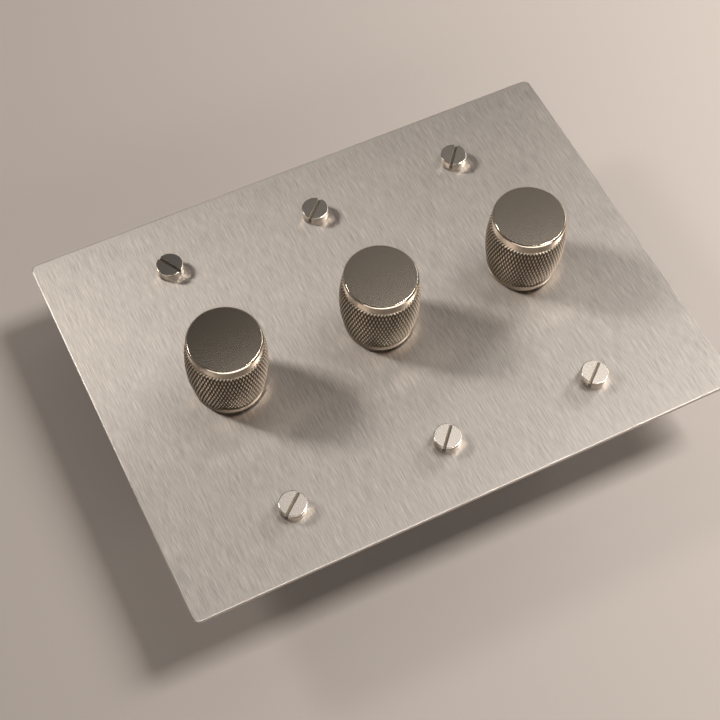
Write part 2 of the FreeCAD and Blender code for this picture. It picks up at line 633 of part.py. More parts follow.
def make_circuit_board(gang, x):
    name = f"circuit_board_{gang}"
    body = start_body(name, x, BOARD_Y, BOARD_BACK)
    outline = start_sketch(body, "outline")
    draw_rectangle(outline, BOARD_WIDTH, BOARD_LENGTH)
    pad(body, outline, "Sizes.BoardThickness")
    notches = start_sketch(body, "notches")
    reach = "(Sizes.ColumnRadius + Sizes.LooseGap)"
    across = f"(2 * {reach})"
    for side in (-1, 1):
        draw_circle(notches, reach, f"{side} * {COLUMN_X}", f"-Sizes.ColumnLowPlace - {BOARD_Y}")
        draw_rectangle(notches, across, across, f"{side} * {COLUMN_X}", f"{COLUMN_HIGH} - {BOARD_Y}")
    cut_through(body, notches)
    keep(body, name)


def make_triac(gang, x):
    """The power device, flat against the strap, with its legs down to the board."""
    name = f"triac_{gang}"
    centre = f"{x} + Sizes.TriacPlaceX"
    low = "Sizes.TriacPlaceY"
    middle = f"{low} + Sizes.TriacLength / 2"
    tab_y = f"{low} + Sizes.TriacLength + Sizes.TriacTabLength / 2"
    tab_z = f"{STRAP_BACK} - Sizes.TriacTabThickness"
    leg_z = f"({STRAP_BACK} - Sizes.TriacHeight + Sizes.TriacLegWidth)"
    moulding = solid_box(
        f"{name}_moulding", "Sizes.TriacWidth", "Sizes.TriacLength", "Sizes.TriacHeight",
        centre, middle, f"{STRAP_BACK} - Sizes.TriacHeight")
    tab = solid_box(
        f"{name}_tab", "Sizes.TriacWidth", "Sizes.TriacTabLength", "Sizes.TriacTabThickness",
        centre, tab_y, tab_z)
    pieces = [moulding, tab]
    for number in (-1, 0, 1):
        leg_x = f"{centre} + {number} * Sizes.TriacLegPitch"
        leg_y = f"{low} - Sizes.TriacLegReach + Sizes.TriacLegWidth / 2"
        leg_height = f"{leg_z} + Sizes.TriacLegWidth - {BOARD_TOP}"
        pieces.append(solid_box(
            f"{name}_reach_{number + 2}", "Sizes.TriacLegWidth", "Sizes.TriacLegReach",
            "Sizes.TriacLegWidth", leg_x, f"{low} - Sizes.TriacLegReach / 2", leg_z))
        pieces.append(solid_box(
            f"{name}_leg_{number + 2}", "Sizes.TriacLegWidth", "Sizes.TriacLegWidth", leg_height,
            leg_x, leg_y, BOARD_TOP))
    hole = solid_cylinder(
        f"{name}_hole", "Sizes.TriacTabHole", "Sizes.TriacTabThickness", centre, tab_y, tab_z)
    keep(cut(name, fuse(f"{name}_blank", pieces), hole), name)


def make_choke(gang, x):
    """A wound ring, lying on the board."""
    name = f"choke_{gang}"
    body = start_body(name, f"{x} - Sizes.ChokePlaceX", "Sizes.ChokePlaceY", BOARD_TOP)
    ring = start_sketch(body, "ring")
    draw_circle(ring, "Sizes.ChokeRadius")
    draw_circle(ring, "Sizes.ChokeBore")
    pad(body, ring, "Sizes.ChokeHeight")
    dress(body, "Fillet", "winding", "Sizes.ChokeRound", lambda edge: edge.BoundBox.ZLength < 1e-6)
    keep(body, name)


def make_capacitor(gang, x):
    name = f"capacitor_{gang}"
    body = start_body(name, x, "-Sizes.CapacitorPlace", BOARD_TOP)
    outline = start_sketch(body, "outline")
    draw_rectangle(outline, "Sizes.CapacitorLength", "Sizes.CapacitorWidth")
    pad(body, outline, "Sizes.CapacitorHeight")
    dress(body, "Fillet", "edges", "Sizes.CapacitorRound", is_upright)
    keep(body, name)


def make_control_case(gang, x):
    """The turning control's case, with a round chamber and the stop that limits the turn."""
    name = f"control_case_{gang}"
    body = start_body(name, x, z=CONTROL_BACK)
    outline = start_sketch(body, "outline")
    draw_rectangle(outline, "Sizes.ControlWidth", "Sizes.ControlWidth")
    pad(body, outline, "Sizes.ControlHeight")
    chamber = start_sketch(body, "chamber", "Sizes.ControlHeight")
    draw_circle(chamber, "Sizes.ControlHollowRadius")
    pocket(body, chamber, "Sizes.ControlHeight - Sizes.ControlFloor")
    stop_foot = "(Sizes.ControlFloor + Sizes.EndGap + Sizes.RotorDisc + Sizes.LooseGap)"
    stop = start_sketch(body, "stop", stop_foot)
    draw_sector(
        stop, "Sizes.StopInnerRadius", "(Sizes.ControlHollowRadius + Sizes.LooseGap)",
        "(Sizes.LugAngle / 2 + Sizes.StopClearance)",
        "(360 - Sizes.TurnRange - Sizes.LugAngle / 2 - Sizes.StopClearance)")
    pad(body, stop, f"Sizes.ControlHeight - {stop_foot}")
    hole = start_sketch(body, "hole")
    draw_circle(hole, "Sizes.ShaftRadius + Sizes.RunningFit")
    pocket(body, hole, "Sizes.ControlFloor", upwards=True)
    keep(body, name)


def make_wiper_rotor(gang, x):
    """Turns with the spindle, which slides through its flatted bore."""
    name = f"wiper_rotor_{gang}"
    body = start_body(name, x, z=f"{CONTROL_BACK} + Sizes.ControlFloor + Sizes.EndGap")
    disc = start_sketch(body, "disc")
    draw_circle(disc, "Sizes.RotorRadius")
    pad(body, disc, "Sizes.RotorDisc")
    hub = start_sketch(body, "hub")
    draw_circle(hub, "Sizes.RotorHubRadius")
    pad(body, hub, "Sizes.RotorHeight")
    lug = start_sketch(body, "lug")
    half_lug = "Sizes.LugAngle / 2"
    draw_sector(lug, "Sizes.ShaftRadius", "Sizes.RotorRadius", f"(-{half_lug})", f"({half_lug})")
    pad(body, lug, "Sizes.RotorHeight")
    bore = start_sketch(body, "bore")
    draw_flatted_circle(bore, "Sizes.ShaftRadius + Sizes.RunningFit", "Sizes.ShaftFlat + Sizes.RunningFit")
    cut_through(body, bore)
    keep(body, name)


def make_threaded_bush(gang, x):
    name = f"threaded_bush_{gang}"
    length = f"(Sizes.FaceHeight + Sizes.BushProud - {BUSH_SEAT})"
    body = start_body(name, x, z=BUSH_SEAT)
    flange = start_sketch(body, "flange")
    draw_rectangle(flange, "Sizes.BushFlangeWidth", "Sizes.BushFlangeWidth")
    pad(body, flange, "Sizes.BushFlange")
    barrel = start_sketch(body, "barrel")
    draw_circle(barrel, "Sizes.BushRadius")
    pad(body, barrel, length)
    dress(body, "Chamfer", "lead", "Sizes.BushChamfer", lies_at(value(length)))
    bore = start_sketch(body, "bore")
    draw_circle(bore, "Sizes.ShaftRadius + Sizes.RunningFit")
    cut_through(body, bore)
    keep(body, name)


def make_spindle(gang, x):
    """The shaft from the push switch up into the knob, flatted where it drives the rotor and the knob."""
    name = f"spindle_{gang}"
    body = start_body(name, x, z=SHAFT_END)
    shaft = start_sketch(body, "shaft")
    draw_circle(shaft, "Sizes.ShaftRadius")
    pad(body, shaft, SHAFT_LENGTH)
    collar = start_sketch(body, "collar", SHAFT_COLLAR)
    draw_circle(collar, "Sizes.ShaftCollarRadius")
    pad(body, collar, "Sizes.ShaftCollarHeight")
    flat_x = "(Sizes.ShaftFlat + Sizes.ShaftRadius / 2)"
    for end, height, length, upwards in (
            ("lower", "0", f"{SHAFT_COLLAR} - Sizes.EndGap", True),
            ("upper", SHAFT_LENGTH, "Sizes.InsertHeight", False)):
        flat = start_sketch(body, f"{end}_flat", height)
        draw_rectangle(flat, "Sizes.ShaftRadius", "3 * Sizes.ShaftRadius", flat_x)
        pocket(body, flat, length, upwards)
    keep(body, name)


def make_knob_insert(gang, x):
    """A plastic sleeve that grips the spindle's flat inside the knob."""
    name = f"knob_insert_{gang}"
    body = start_body(name, x, z=f"{KNOB_FOOT} + Sizes.KnobHollowHeight")
    sleeve = start_sketch(body, "sleeve")
    draw_circle(sleeve, "Sizes.InsertRadius")
    pad(body, sleeve, "Sizes.InsertHeight")
    bore = start_sketch(body, "bore")
    draw_flatted_circle(bore, "Sizes.ShaftRadius + Sizes.RunningFit", "Sizes.ShaftFlat + Sizes.RunningFit")
    cut_through(body, bore)
    keep(body, name)


def make_knurl():
    """The knurled barrel: rows of four-sided points left between two crossed sets of grooves."""
    teeth, rows = round(value("Sizes.KnurlTeeth")), round(value("Sizes.KnurlRows"))
    height, depth = value("Sizes.KnurlHeight"), value("Sizes.KnurlDepth")
    barrel = Part.Circle(
        Vector(value("Sizes.KnurlFootRadius"), 0, 0),
        Vector(value("Sizes.KnurlBellyRadius"), value("Sizes.KnurlBellyHeight"), 0),
        Vector(value("Sizes.KnurlTopRadius"), height, 0))

    def point(row, step, sunk=0.0):
        """A place on the barrel: rows count upwards and steps count half teeth round it."""
        level = height * row / rows
        radius = barrel.Center.x + math.sqrt(barrel.Radius ** 2 - (level - barrel.Center.y) ** 2) - sunk
        angle = math.pi * step / teeth
        return Vector(radius * math.cos(angle), radius * math.sin(angle), level)

    def facet(*places):
        return Part.Face(Part.makePolygon([*places, places[0]]))

    facets = []
    for row in range(rows + 1):
        for tooth in range(teeth):
            step = 2 * tooth + 1 + row % 2
            tip = point(row, step)
            left, right = point(row, step - 1, depth), point(row, step + 1, depth)
            if row < rows:
                above = point(row + 1, step, depth)
                facets += [facet(tip, right, above), facet(tip, above, left)]
            if row > 0:
                below = point(row - 1, step, depth)
                facets += [facet(tip, below, right), facet(tip, left, below)]
    for row in (0, rows):
        ends = [point(row, step, 0.0 if (step - row) % 2 else depth) for step in range(2 * teeth)]
        facets.append(facet(*ends))
    shell = Part.makeShell(facets)
    shell.sewShape()
    item = doc.addObject("Part::Feature", "knob_knurl")
    item.Shape = Part.makeSolid(shell)
    place(item, "0", "0", KNURL_FOOT)
    return item


def make_knob_form():
    """A turned barrel knob with a bevelled crown, a knurled belly, a neck and a recess for the nut."""
    collar = solid_cylinder("knob_collar", "Sizes.CollarRadius", "Sizes.CollarHeight", "0", "0", "0")
    rim_radius = "Sizes.KnurlFootRadius + Sizes.RimProud"
    rim = solid_cylinder("knob_rim", rim_radius, "Sizes.RimHeight", "0", "0", "Sizes.CollarHeight")
    crown = solid_cylinder(
        "knob_crown", "Sizes.CrownRadius", "Sizes.CrownHeight - Sizes.CrownBevel", "0", "0", KNURL_TOP)
    bevel = doc.addObject("Part::Cone", "knob_bevel")
    bevel.setExpression("Radius1", "Sizes.CrownRadius")
    bevel.setExpression("Radius2", "Sizes.CrownRadius - Sizes.CrownBevel")
    bevel.setExpression("Height", "Sizes.CrownBevel")
    place(bevel, "0", "0", f"{KNURL_TOP} + Sizes.CrownHeight - Sizes.CrownBevel")
    blank = doc.addObject("Part::MultiFuse", "knob_blank")
    blank.Shapes = [make_knurl(), collar, rim, crown, bevel]
    hollow_height = "Sizes.KnobHollowHeight"
    bore_height = f"{hollow_height} + Sizes.InsertHeight + Sizes.EndGap"
    recess = solid_cylinder("knob_recess", "Sizes.KnobHollowRadius", hollow_height, "0", "0", "0")
    bore = solid_cylinder("knob_bore", "Sizes.InsertRadius + Sizes.RunningFit", bore_height, "0", "0", "0")
    return cut("knob_form", blank, fuse("knob_hollow", [recess, bore]))


def make_knob(gang, x, form):
    """One of the three like knobs."""
    item = doc.addObject("Part::Feature", f"knob_{gang}")
    item.Shape = form.Shape
    place(item, x, "0", KNOB_FOOT)
    keep(item, f"knob_{gang}")


def make_switch_case(gang, x):
    name = f"switch_case_{gang}"
    body = start_body(name, x, z=BOARD_TOP)
    outline = start_sketch(body, "outline")
    draw_rectangle(outline, "Sizes.SwitchWidth", "Sizes.SwitchWidth")
    pad(body, outline, SWITCH_HEIGHT)
    chamber = start_sketch(body, "chamber")
    draw_circle(chamber, "Sizes.SwitchHollowRadius")
    pocket(body, chamber, f"{SWITCH_HEIGHT} - Sizes.SwitchRoof", upwards=True)
    hole = start_sketch(body, "hole")
    draw_circle(hole, "Sizes.PlungerRadius + Sizes.RunningFit")
    cut_through(body, hole)
    keep(body, name)


def make_plunger(gang, x):
    name = f"switch_plunger_{gang}"
    body = start_body(name, x, z=PLUNGER_FOOT)
    profile = start_sketch(body, "profile", plane="XZ_Plane")
    corners = [
        ("0", "0"),
        ("Sizes.PlungerFlangeRadius", "0"),
        ("Sizes.PlungerFlangeRadius", "Sizes.PlungerFlange"),
        ("Sizes.PlungerRadius", "Sizes.PlungerFlange"),
        ("Sizes.PlungerRadius", PLUNGER_LENGTH),
        ("0", PLUNGER_LENGTH),
    ]
    draw_outline(profile, corners)
    revolve(body, profile)
    keep(body, name)


def make_spring(gang, x):
    """A compression spring between the board and the plunger's flange."""
    name = f"switch_spring_{gang}"
    rise = f"({PLUNGER_FOOT} - {BOARD_TOP} - 2 * Sizes.SpringWire)"
    path = doc.addObject("Part::Helix", f"{name}_path")
    path.setExpression("Height", rise)
    path.setExpression("Pitch", f"{rise} / Sizes.SpringTurns")
    path.setExpression("Radius", "Sizes.SpringRadius")
    wire = doc.addObject("Part::Circle", f"{name}_wire")
    wire.setExpression("Radius", "Sizes.SpringWire")
    wire.Placement = Placement(Vector(value("Sizes.SpringRadius"), 0, 0), Rotation(Vector(1, 0, 0), 90))
    wire.setExpression("Placement.Base.x", "Sizes.SpringRadius")
    coil = doc.addObject("Part::Sweep", name)
    coil.Sections = [wire]
    coil.Spine = (path, ["Edge1"])
    coil.Solid = True
    coil.Frenet = True
    place(coil, x, "0", f"{BOARD_TOP} + Sizes.SpringWire")
    keep(coil, name)


make_face_plate()
make_face_screws()
make_screw_retainers()
make_bush_washers()
make_bush_nuts()
make_case_screws()
make_terminal_screws()
make_earth_screws()
knob_form = make_knob_form()
doc.recompute()
for gang_name, gang_x in GANGS.items():
    make_strap(gang_name, gang_x)
    make_housing(gang_name, gang_x)
    make_terminal_block(gang_name, gang_x)
    make_circuit_board(gang_name, gang_x)
    make_triac(gang_name, gang_x)
    make_choke(gang_name, gang_x)
    make_capacitor(gang_name, gang_x)
    make_control_case(gang_name, gang_x)
    make_wiper_rotor(gang_name, gang_x)
    make_threaded_bush(gang_name, gang_x)
    make_spindle(gang_name, gang_x)
    make_knob_insert(gang_name, gang_x)
    make_knob(gang_name, gang_x, knob_form)
    make_switch_case(gang_name, gang_x)
    make_plunger(gang_name, gang_x)
    make_spring(gang_name, gang_x)
doc.recompute()

for item in doc.Objects:
    if "Invalid" in item.State or "Error" in item.State:
        raise RuntimeError(f"{item.Name} did not build: {item.State}")
for node in NODES:
    if node.Shape.isNull() or not node.Shape.isValid():
        raise RuntimeError(f"{node.Label} has no valid shape")

os.makedirs("parts", exist_ok=True)
for node in NODES:
    node.Shape.exportStep(f"parts/{node.Label}.step")
    print(f"{node.Label}: {len(node.Shape.Solids)} solid(s), {node.Shape.Volume:.2f} mm3")
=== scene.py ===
import json
import math

import bmesh
import bpy
from bpy.props import FloatProperty, FloatVectorProperty, IntProperty, PointerProperty
from mathutils import Matrix, Vector


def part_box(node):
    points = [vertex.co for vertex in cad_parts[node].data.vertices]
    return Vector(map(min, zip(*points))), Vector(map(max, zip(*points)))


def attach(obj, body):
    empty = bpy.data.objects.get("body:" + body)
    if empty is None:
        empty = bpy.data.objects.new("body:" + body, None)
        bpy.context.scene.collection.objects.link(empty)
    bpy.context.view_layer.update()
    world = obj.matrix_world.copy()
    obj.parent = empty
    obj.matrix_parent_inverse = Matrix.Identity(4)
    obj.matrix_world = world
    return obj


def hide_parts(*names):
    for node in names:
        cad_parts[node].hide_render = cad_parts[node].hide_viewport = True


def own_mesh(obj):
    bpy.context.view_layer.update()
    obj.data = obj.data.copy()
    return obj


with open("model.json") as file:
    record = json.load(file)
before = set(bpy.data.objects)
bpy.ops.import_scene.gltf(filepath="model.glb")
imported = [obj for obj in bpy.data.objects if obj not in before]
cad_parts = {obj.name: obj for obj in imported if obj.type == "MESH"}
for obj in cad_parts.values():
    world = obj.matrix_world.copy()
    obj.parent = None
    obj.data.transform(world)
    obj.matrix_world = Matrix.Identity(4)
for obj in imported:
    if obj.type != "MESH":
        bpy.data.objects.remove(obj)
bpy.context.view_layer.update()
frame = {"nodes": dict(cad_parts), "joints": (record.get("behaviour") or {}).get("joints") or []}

# Three-gang rotary dimmer switch: a brushed nickel face plate with three knurled push-and-turn knobs.
# Every length is in metres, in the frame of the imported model.

GANGS = ("left", "middle", "right")
MM = 0.001

# What the groove attribute holds on the turned pieces
BURNISHED = 0.0
ON_POINT = 0.3
LEFT_ROUGH = 0.5
# In a groove or on a slot floor: roughest, and with the full painted shade
IN_GROOVE = 1.0

# From this value of it on, the metal has the whole of the shade painted into its grooves
FULL_PAINTED_SHADE = 0.9

# A pattern that isn't stretched
EVEN = (1, 1, 1)

bl_info = {
    "name": "Rotary dimmer switch",
    "version": (1, 0, 0),
    "blender": (4, 5, 0),
    "location": "View3D > Sidebar > Dimmer",
    "description": "Knurled knobs, slotted screws and metal finishes for a three-gang dimmer plate",
    "category": "Object",
}


def length(name, description, default):
    """A property for a length in metres."""
    return FloatProperty(
        name=name, description=description, default=default, min=0.0, precision=5,
        subtype="DISTANCE", unit="LENGTH")


def colour(name, description, default):
    """A property for a colour."""
    return FloatVectorProperty(
        name=name, description=description, default=default, min=0.0, max=1.0, size=3, subtype="COLOR")


class DimmerSizes(bpy.types.PropertyGroup):
    """Sizes of what is modelled here, over the seats that the frame gives."""

    neck_radius: length("Neck radius", "Smooth neck under the knurl", 9.7 * MM)
    neck_height: length("Neck height", "Smooth neck under the rim", 1.95 * MM)
    rim_radius: length("Rim radius", "Thin smooth rim under the knurl", 10.05 * MM)
    rim_height: length("Rim height", "Thin smooth rim under the knurl", 0.35 * MM)
    knurl_height: length("Knurl height", "Knurled band", 17.3 * MM)
    knurl_foot_radius: length("Knurl foot radius", "Points of the knurl at its lower end", 10.0 * MM)
    knurl_belly_radius: length("Knurl belly radius", "Points of the knurl at its widest", 11.4 * MM)
    knurl_belly_height: length("Knurl belly height", "Widest place above the band's lower end", 10.0 * MM)
    knurl_top_radius: length("Knurl top radius", "Points of the knurl at its upper end", 10.85 * MM)
    knurl_chamfer: length("Knurl chamfer", "Height of the slope above the knurl's last row", 0.35 * MM)
    knurl_depth: length("Knurl depth", "Grooves of the knurl", 0.45 * MM)
    knurl_teeth: IntProperty(name="Knurl teeth", description="Points round the knurl", default=70, min=12)
    knurl_rows: IntProperty(name="Knurl rows", description="Rows of points up the knurl", default=12, min=2)
    crown_radius: length("Crown radius", "Smooth top of the knob", 10.35 * MM)
    crown_height: length("Crown height", "Smooth top of the knob above the knurl", 3.5 * MM)
    crown_bevel: length("Crown bevel", "Bevel round the knob's top face", 0.45 * MM)
    recess_radius: length("Recess radius", "Recess under the knob", 8.6 * MM)
    recess_height: length("Recess height", "Recess under the knob", 5.2 * MM)
    socket_radius: length("Socket radius", "Socket for the plastic insert", 4.65 * MM)
    socket_height: length("Socket height", "Socket for the plastic insert, from the foot", 19.3 * MM)
    screw_radius: length("Screw radius", "Outside of the face screws' thread", 1.75 * MM)
    screw_core: length("Screw core", "Bottom of the face screws' thread", 1.42 * MM)
    screw_neck: length("Screw neck", "Thinner neck of a face screw", 1.5 * MM)
    screw_neck_length: length("Screw neck length", "Thinner neck of a face screw", 3.8 * MM)
    screw_length: length("Screw length", "Face screw below its head", 24.0 * MM)
    thread_pitch: length("Thread pitch", "Thread of the face screws", 0.6 * MM)
    head_radius: length("Head radius", "Face screw head", 3.85 * MM)
    head_height: length("Head height", "Face screw head", 3.3 * MM)
    slot_width: length("Slot width", "Screwdriver slot of a face screw", 0.9 * MM)
    slot_depth: length("Slot depth", "Screwdriver slot of a face screw", 0.9 * MM)


class DimmerColours(bpy.types.PropertyGroup):
    """Colours of the finishes, as a surface in plain white light, and of the shade painted into the knurl's
    grooves and the screws' slots.
    """

    plate: colour("Plate", "Brushed nickel face plate", (0.57, 0.517, 0.471))
    knob: colour("Knob", "Satin nickel knobs", (0.62, 0.53, 0.43))
    screw: colour("Face screws", "Satin nickel screw heads", (0.64, 0.575, 0.51))
    # Painted shade: the bottoms of the knurl's grooves are coloured this dark, as shade
    groove: colour("Grooves", "Bottom of the knurl's grooves", (0.036, 0.027, 0.019))
    # Painted shade: the floors of the screws' slots are coloured this dark, as shade
    slot: colour("Slots", "Bottom of the screws' slots", (0.13, 0.11, 0.086))
    floor: colour("Floor", "Plain pale floor", (0.34, 0.295, 0.265))


# Small tools that the operators share


def only(piece):
    """Selects one object and makes it the active one."""
    bpy.ops.object.select_all(action="DESELECT")
    piece.select_set(True)
    bpy.context.view_layer.objects.active = piece


def edit(piece, mode="VERT"):
    """Opens a piece for editing with nothing of it selected."""
    only(piece)
    bpy.ops.object.mode_set(mode="EDIT")
    bpy.ops.mesh.select_mode(type=mode)
    bpy.ops.mesh.select_all(action="DESELECT")


def stop_editing():
    bpy.ops.object.mode_set(mode="OBJECT")


def pick(piece, wanted, kind="verts"):
    """Selects the vertices or edges that wanted() accepts. To find none is an error."""
    mesh = bmesh.from_edit_mesh(piece.data)
    bpy.ops.mesh.select_all(action="DESELECT")
    chosen = [element for element in getattr(mesh, kind) if wanted(element)]
    if not chosen:
        raise RuntimeError(f"nothing to select on {piece.name}")
    for element in chosen:
        element.select_set(True)
    bmesh.update_edit_mesh(piece.data)


def radius_of(place):
    """Distance from the Z axis."""
    return math.hypot(place.x, place.y)


def foot_of(low, high):
    """The middle of the lower face of a box."""
    return ((low.x + high.x) / 2, (low.y + high.y) / 2, low.z)


def rings_at(radius, height, tolerance=0.004 * MM):
    """A test for the edges of a turned piece that lie on one of its rings."""
    def wanted(edge):
        return all(
            abs(radius_of(vertex.co) - radius) < tolerance and abs(vertex.co.z - height) < tolerance
            for vertex in edge.verts)
    return wanted


def turn_piece(name, profile, steps):
    """A turned piece: its profile of (radius, height) is extruded point by point and spun round Z."""
    bpy.ops.object.select_all(action="DESELECT")
    bpy.ops.mesh.primitive_plane_add(size=MM)
    piece = bpy.context.object
    piece.name = piece.data.name = name
    edit(piece)
    bpy.ops.mesh.select_all(action="SELECT")
    bpy.ops.mesh.merge(type="CENTER")
    bpy.ops.transform.translate(value=(profile[0][0], 0, profile[0][1]))
    for (radius, height), (next_radius, next_height) in zip(profile, profile[1:]):
        step = {"value": (next_radius - radius, 0, next_height - height)}
        bpy.ops.mesh.extrude_region_move(TRANSFORM_OT_translate=step)
    bpy.ops.mesh.select_all(action="SELECT")
    bpy.ops.mesh.spin(steps=steps, angle=math.tau, center=(0, 0, 0), axis=(0, 0, 1))
    bpy.ops.mesh.select_all(action="SELECT")
    bpy.ops.mesh.remove_doubles(threshold=0.002 * MM)
    bpy.ops.mesh.normals_make_consistent(inside=False)
    stop_editing()
    return piece


def round_rings(piece, rings, width, segments=2):
    """Rounds the edges on rings given as (radius, height)."""
    edit(piece, "EDGE")
    for radius, height in rings:
        pick(piece, rings_at(radius, height), "edges")
        bpy.ops.mesh.bevel(offset=width, segments=segments, profile=0.5, affect="EDGES")
    stop_editing()


def join_corners(piece):
    """Joins the loose triangles of a CAD mesh where their corners meet."""
    edit(piece)
    bpy.ops.mesh.select_all(action="SELECT")
    bpy.ops.mesh.remove_doubles(threshold=0.001 * MM)
    stop_editing()


def join_flat_faces(piece):
    """Makes one face of each flat region."""
    edit(piece)
    bpy.ops.mesh.select_all(action="SELECT")
    bpy.ops.mesh.dissolve_limited(angle_limit=math.radians(0.5))
    stop_editing()


def smooth(piece, degrees):
    """Smooths the piece but for its sharp edges, with wide faces left flat beside rounded edges."""
    only(piece)
    bpy.ops.object.shade_smooth_by_angle(angle=math.radians(degrees))
    modifier = piece.modifiers.new("flat_faces", "WEIGHTED_NORMAL")
    modifier.keep_sharp = True
    bpy.ops.object.modifier_apply(modifier=modifier.name)


def keep_own_place(piece):
    """Stores each vertex's place before the piece is moved to its seat, for patterns round its own axis."""
    attribute = piece.data.attributes.new("own_place", "FLOAT_VECTOR", "POINT")
    for entry, vertex in zip(attribute.data, piece.data.vertices):
        entry.vector = vertex.co


def mark_grooves(piece, depth_at):
    """Stores for each vertex what depth_at() gives, one of the four groove values."""
    attribute = piece.data.attributes.new("groove", "FLOAT", "POINT")
    for entry, vertex in zip(attribute.data, piece.data.vertices):
        entry.value = depth_at(vertex)


def set_in_place(piece, matrix):
    """Moves the piece's mesh, with its object left at the origin."""
    piece.data.transform(matrix)
    piece.data.update()


def copy_of(piece, name):
    """Another object like this one, with a mesh of its own."""
    twin = bpy.data.objects.new(name, piece.data.copy())
    twin.data.name = name
    bpy.context.scene.collection.objects.link(twin)
    return twin


def join(pieces, name):
    """Makes one object of several."""
    only(pieces[0])
    for piece in pieces:
        piece.select_set(True)
    bpy.ops.object.join()
    pieces[0].name = pieces[0].data.name = name
    return pieces[0]


def softened_copy(node, name, width, segments=2, degrees=35):
    """A copy of a CAD node with its triangles joined and its sharp edges rounded."""
    twin = copy_of(frame["nodes"][node], name)
    join_corners(twin)
    join_flat_faces(twin)
    edit(twin, "EDGE")
    bpy.ops.mesh.edges_select_sharp(sharpness=math.radians(degrees))
    bpy.ops.mesh.bevel(offset=width, segments=segments, profile=0.5, affect="EDGES", clamp_overlap=True)
    stop_editing()
    smooth(twin, degrees)
    return twin


def cover(piece, material):
    """Gives a piece one material."""
    piece.data.materials.clear()
    piece.data.materials.append(material)


def settle(piece, body, slot, material, *nodes):
    """Gives a new piece its material and body, and lets it stand for its CAD nodes."""
    cover(piece, material)
    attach(piece, body)
    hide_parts(*nodes)


def dress(node, material):
    """Gives a CAD node its material."""
    cover(frame["nodes"][node], material)


# Materials


def add_node(material, kind, settings=None, **inputs):
    """Adds a shader node, with its settings and its inputs by name, such as Scale or input_1."""
    tree = material.node_tree
    node = tree.nodes.new(f"ShaderNode{kind}")
    for setting, given in (settings or {}).items():
        setattr(node, setting, given)
    for label, given in inputs.items():
        key = int(label[6:]) if label.startswith("input_") else label.replace("_", " ")
        if isinstance(given, bpy.types.NodeSocket):
            tree.links.new(given, node.inputs[key])
        else:
            node.inputs[key].default_value = given
    return node


def new_material(name, base, metallic, roughness, **sockets):
    """A material whose even values stand on the shader's own sockets."""
    material = bpy.data.materials.new(name)
    material.use_nodes = True
    shader = material.node_tree.nodes["Principled BSDF"]
    shader.inputs["Base Color"].default_value = (*base, 1)
    shader.inputs["Metallic"].default_value = metallic
    shader.inputs["Roughness"].default_value = roughness
    for label, given in sockets.items():
        shader.inputs[label.replace("_", " ")].default_value = given
    return material


def feed(material, label, socket):
    """Links a pattern to one of the shader's sockets."""
    shader = material.node_tree.nodes["Principled BSDF"]
    material.node_tree.links.new(socket, shader.inputs[label])


def noise_pattern(material, source, stretch, scale, detail=2.0, roughness=0.5):
    """Noise, whose cells are longer along a direction in which stretch is under 1."""
    mapping = add_node(material, "Mapping", Vector=source, Scale=stretch)
    noise = add_node(
        material, "TexNoise", Vector=mapping.outputs["Vector"],
        Scale=scale, Detail=detail, Roughness=roughness)
    return noise.outputs["Fac"]


def map_range(material, value, old, new, **settings):
    """Carries a value over from one range to another."""
    carried = add_node(
        material, "MapRange", {"clamp": True, **settings}, Value=value,
        **{"From Min": old[0], "From Max": old[1], "To Min": new[0], "To Max": new[1]})
    return carried.outputs["Result"]


def remap(material, value, low, high):
    """Spreads the middle of a noise over a range."""
    return map_range(material, value, (0.3, 0.7), (low, high))


def calculate(material, operation, first, second):
    """Sum, difference or product of two values."""
    node = add_node(material, "Math", {"operation": operation}, input_0=first, input_1=second)
    return node.outputs["Value"]


def average(material, first, second):
    """Half of each of two patterns."""
    halves = [calculate(material, "MULTIPLY", pattern, 0.5) for pattern in (first, second)]
    return calculate(material, "ADD", *halves)


def tint(material, value, first, second):
    """A colour between two, by a value from 0 to 1. Each is (red, green, blue, 1) or a pattern."""
    mix = add_node(material, "Mix", {"data_type": "RGBA"}, Factor=value, input_6=first, input_7=second)
    return mix.outputs[2]


def bump(material, height, strength, distance, normal=None):
    """Fine relief, over another one if its normal is given."""
    node = add_node(material, "Bump", Height=height, Strength=strength, Distance=distance)
    if normal is not None:
        material.node_tree.links.new(normal, node.inputs["Normal"])
    return node.outputs["Normal"]


def shade(base, factor):
    """The base colour made darker or lighter, as (red, green, blue, 1)."""
    return (*(min(1.0, channel * factor) for channel in base), 1)


def shades(material, pattern, base, dark, light):
    """The base colour, from darker to lighter by a pattern."""
    return tint(material, remap(material, pattern, 0, 1), shade(base, dark), shade(base, light))


def object_place(material):
    """Places in the frame, for patterns along its axes."""
    return add_node(material, "TexCoord").outputs["Object"]


def own_place(material):
    """Places that keep_own_place() stored, for patterns round a piece's own axis."""
    return add_node(material, "Attribute", {"attribute_name": "own_place"}).outputs["Vector"]


def brushed_nickel(name, base):
    """Metal brushed along Y, with a light spread across the brushing and smoother cut edges."""
    material = new_material(name, base, metallic=1.0, roughness=0.48, Anisotropic=0.86)
    place = object_place(material)
    hairlines = noise_pattern(material, place, stretch=(1, 0.05, 1), scale=6400)
    streaks = noise_pattern(material, place, stretch=(1, 0.035, 1), scale=3400)
    clouds = noise_pattern(material, place, stretch=(1, 0.5, 1), scale=22, detail=3.0)
    grain = average(material, hairlines, streaks)
    feed(material, "Base Color", shades(material, grain, base, dark=0.7, light=1.3))
    worn = calculate(
        material, "ADD", remap(material, streaks, 0.46, 0.5), remap(material, clouds, -0.015, 0.015))
    cut = add_node(material, "Attribute", {"attribute_name": "cut_edge"}).outputs["Fac"]
    smoother = calculate(material, "MULTIPLY", cut, 0.1)
    feed(material, "Roughness", calculate(material, "SUBTRACT", worn, smoother))
    feed(material, "Normal", bump(material, grain, strength=0.5, distance=0.03 * MM))
    across = add_node(material, "Tangent", {"direction_type": "UV_MAP", "uv_map": "brushing"})
    feed(material, "Tangent", across.outputs["Tangent"])
    return material


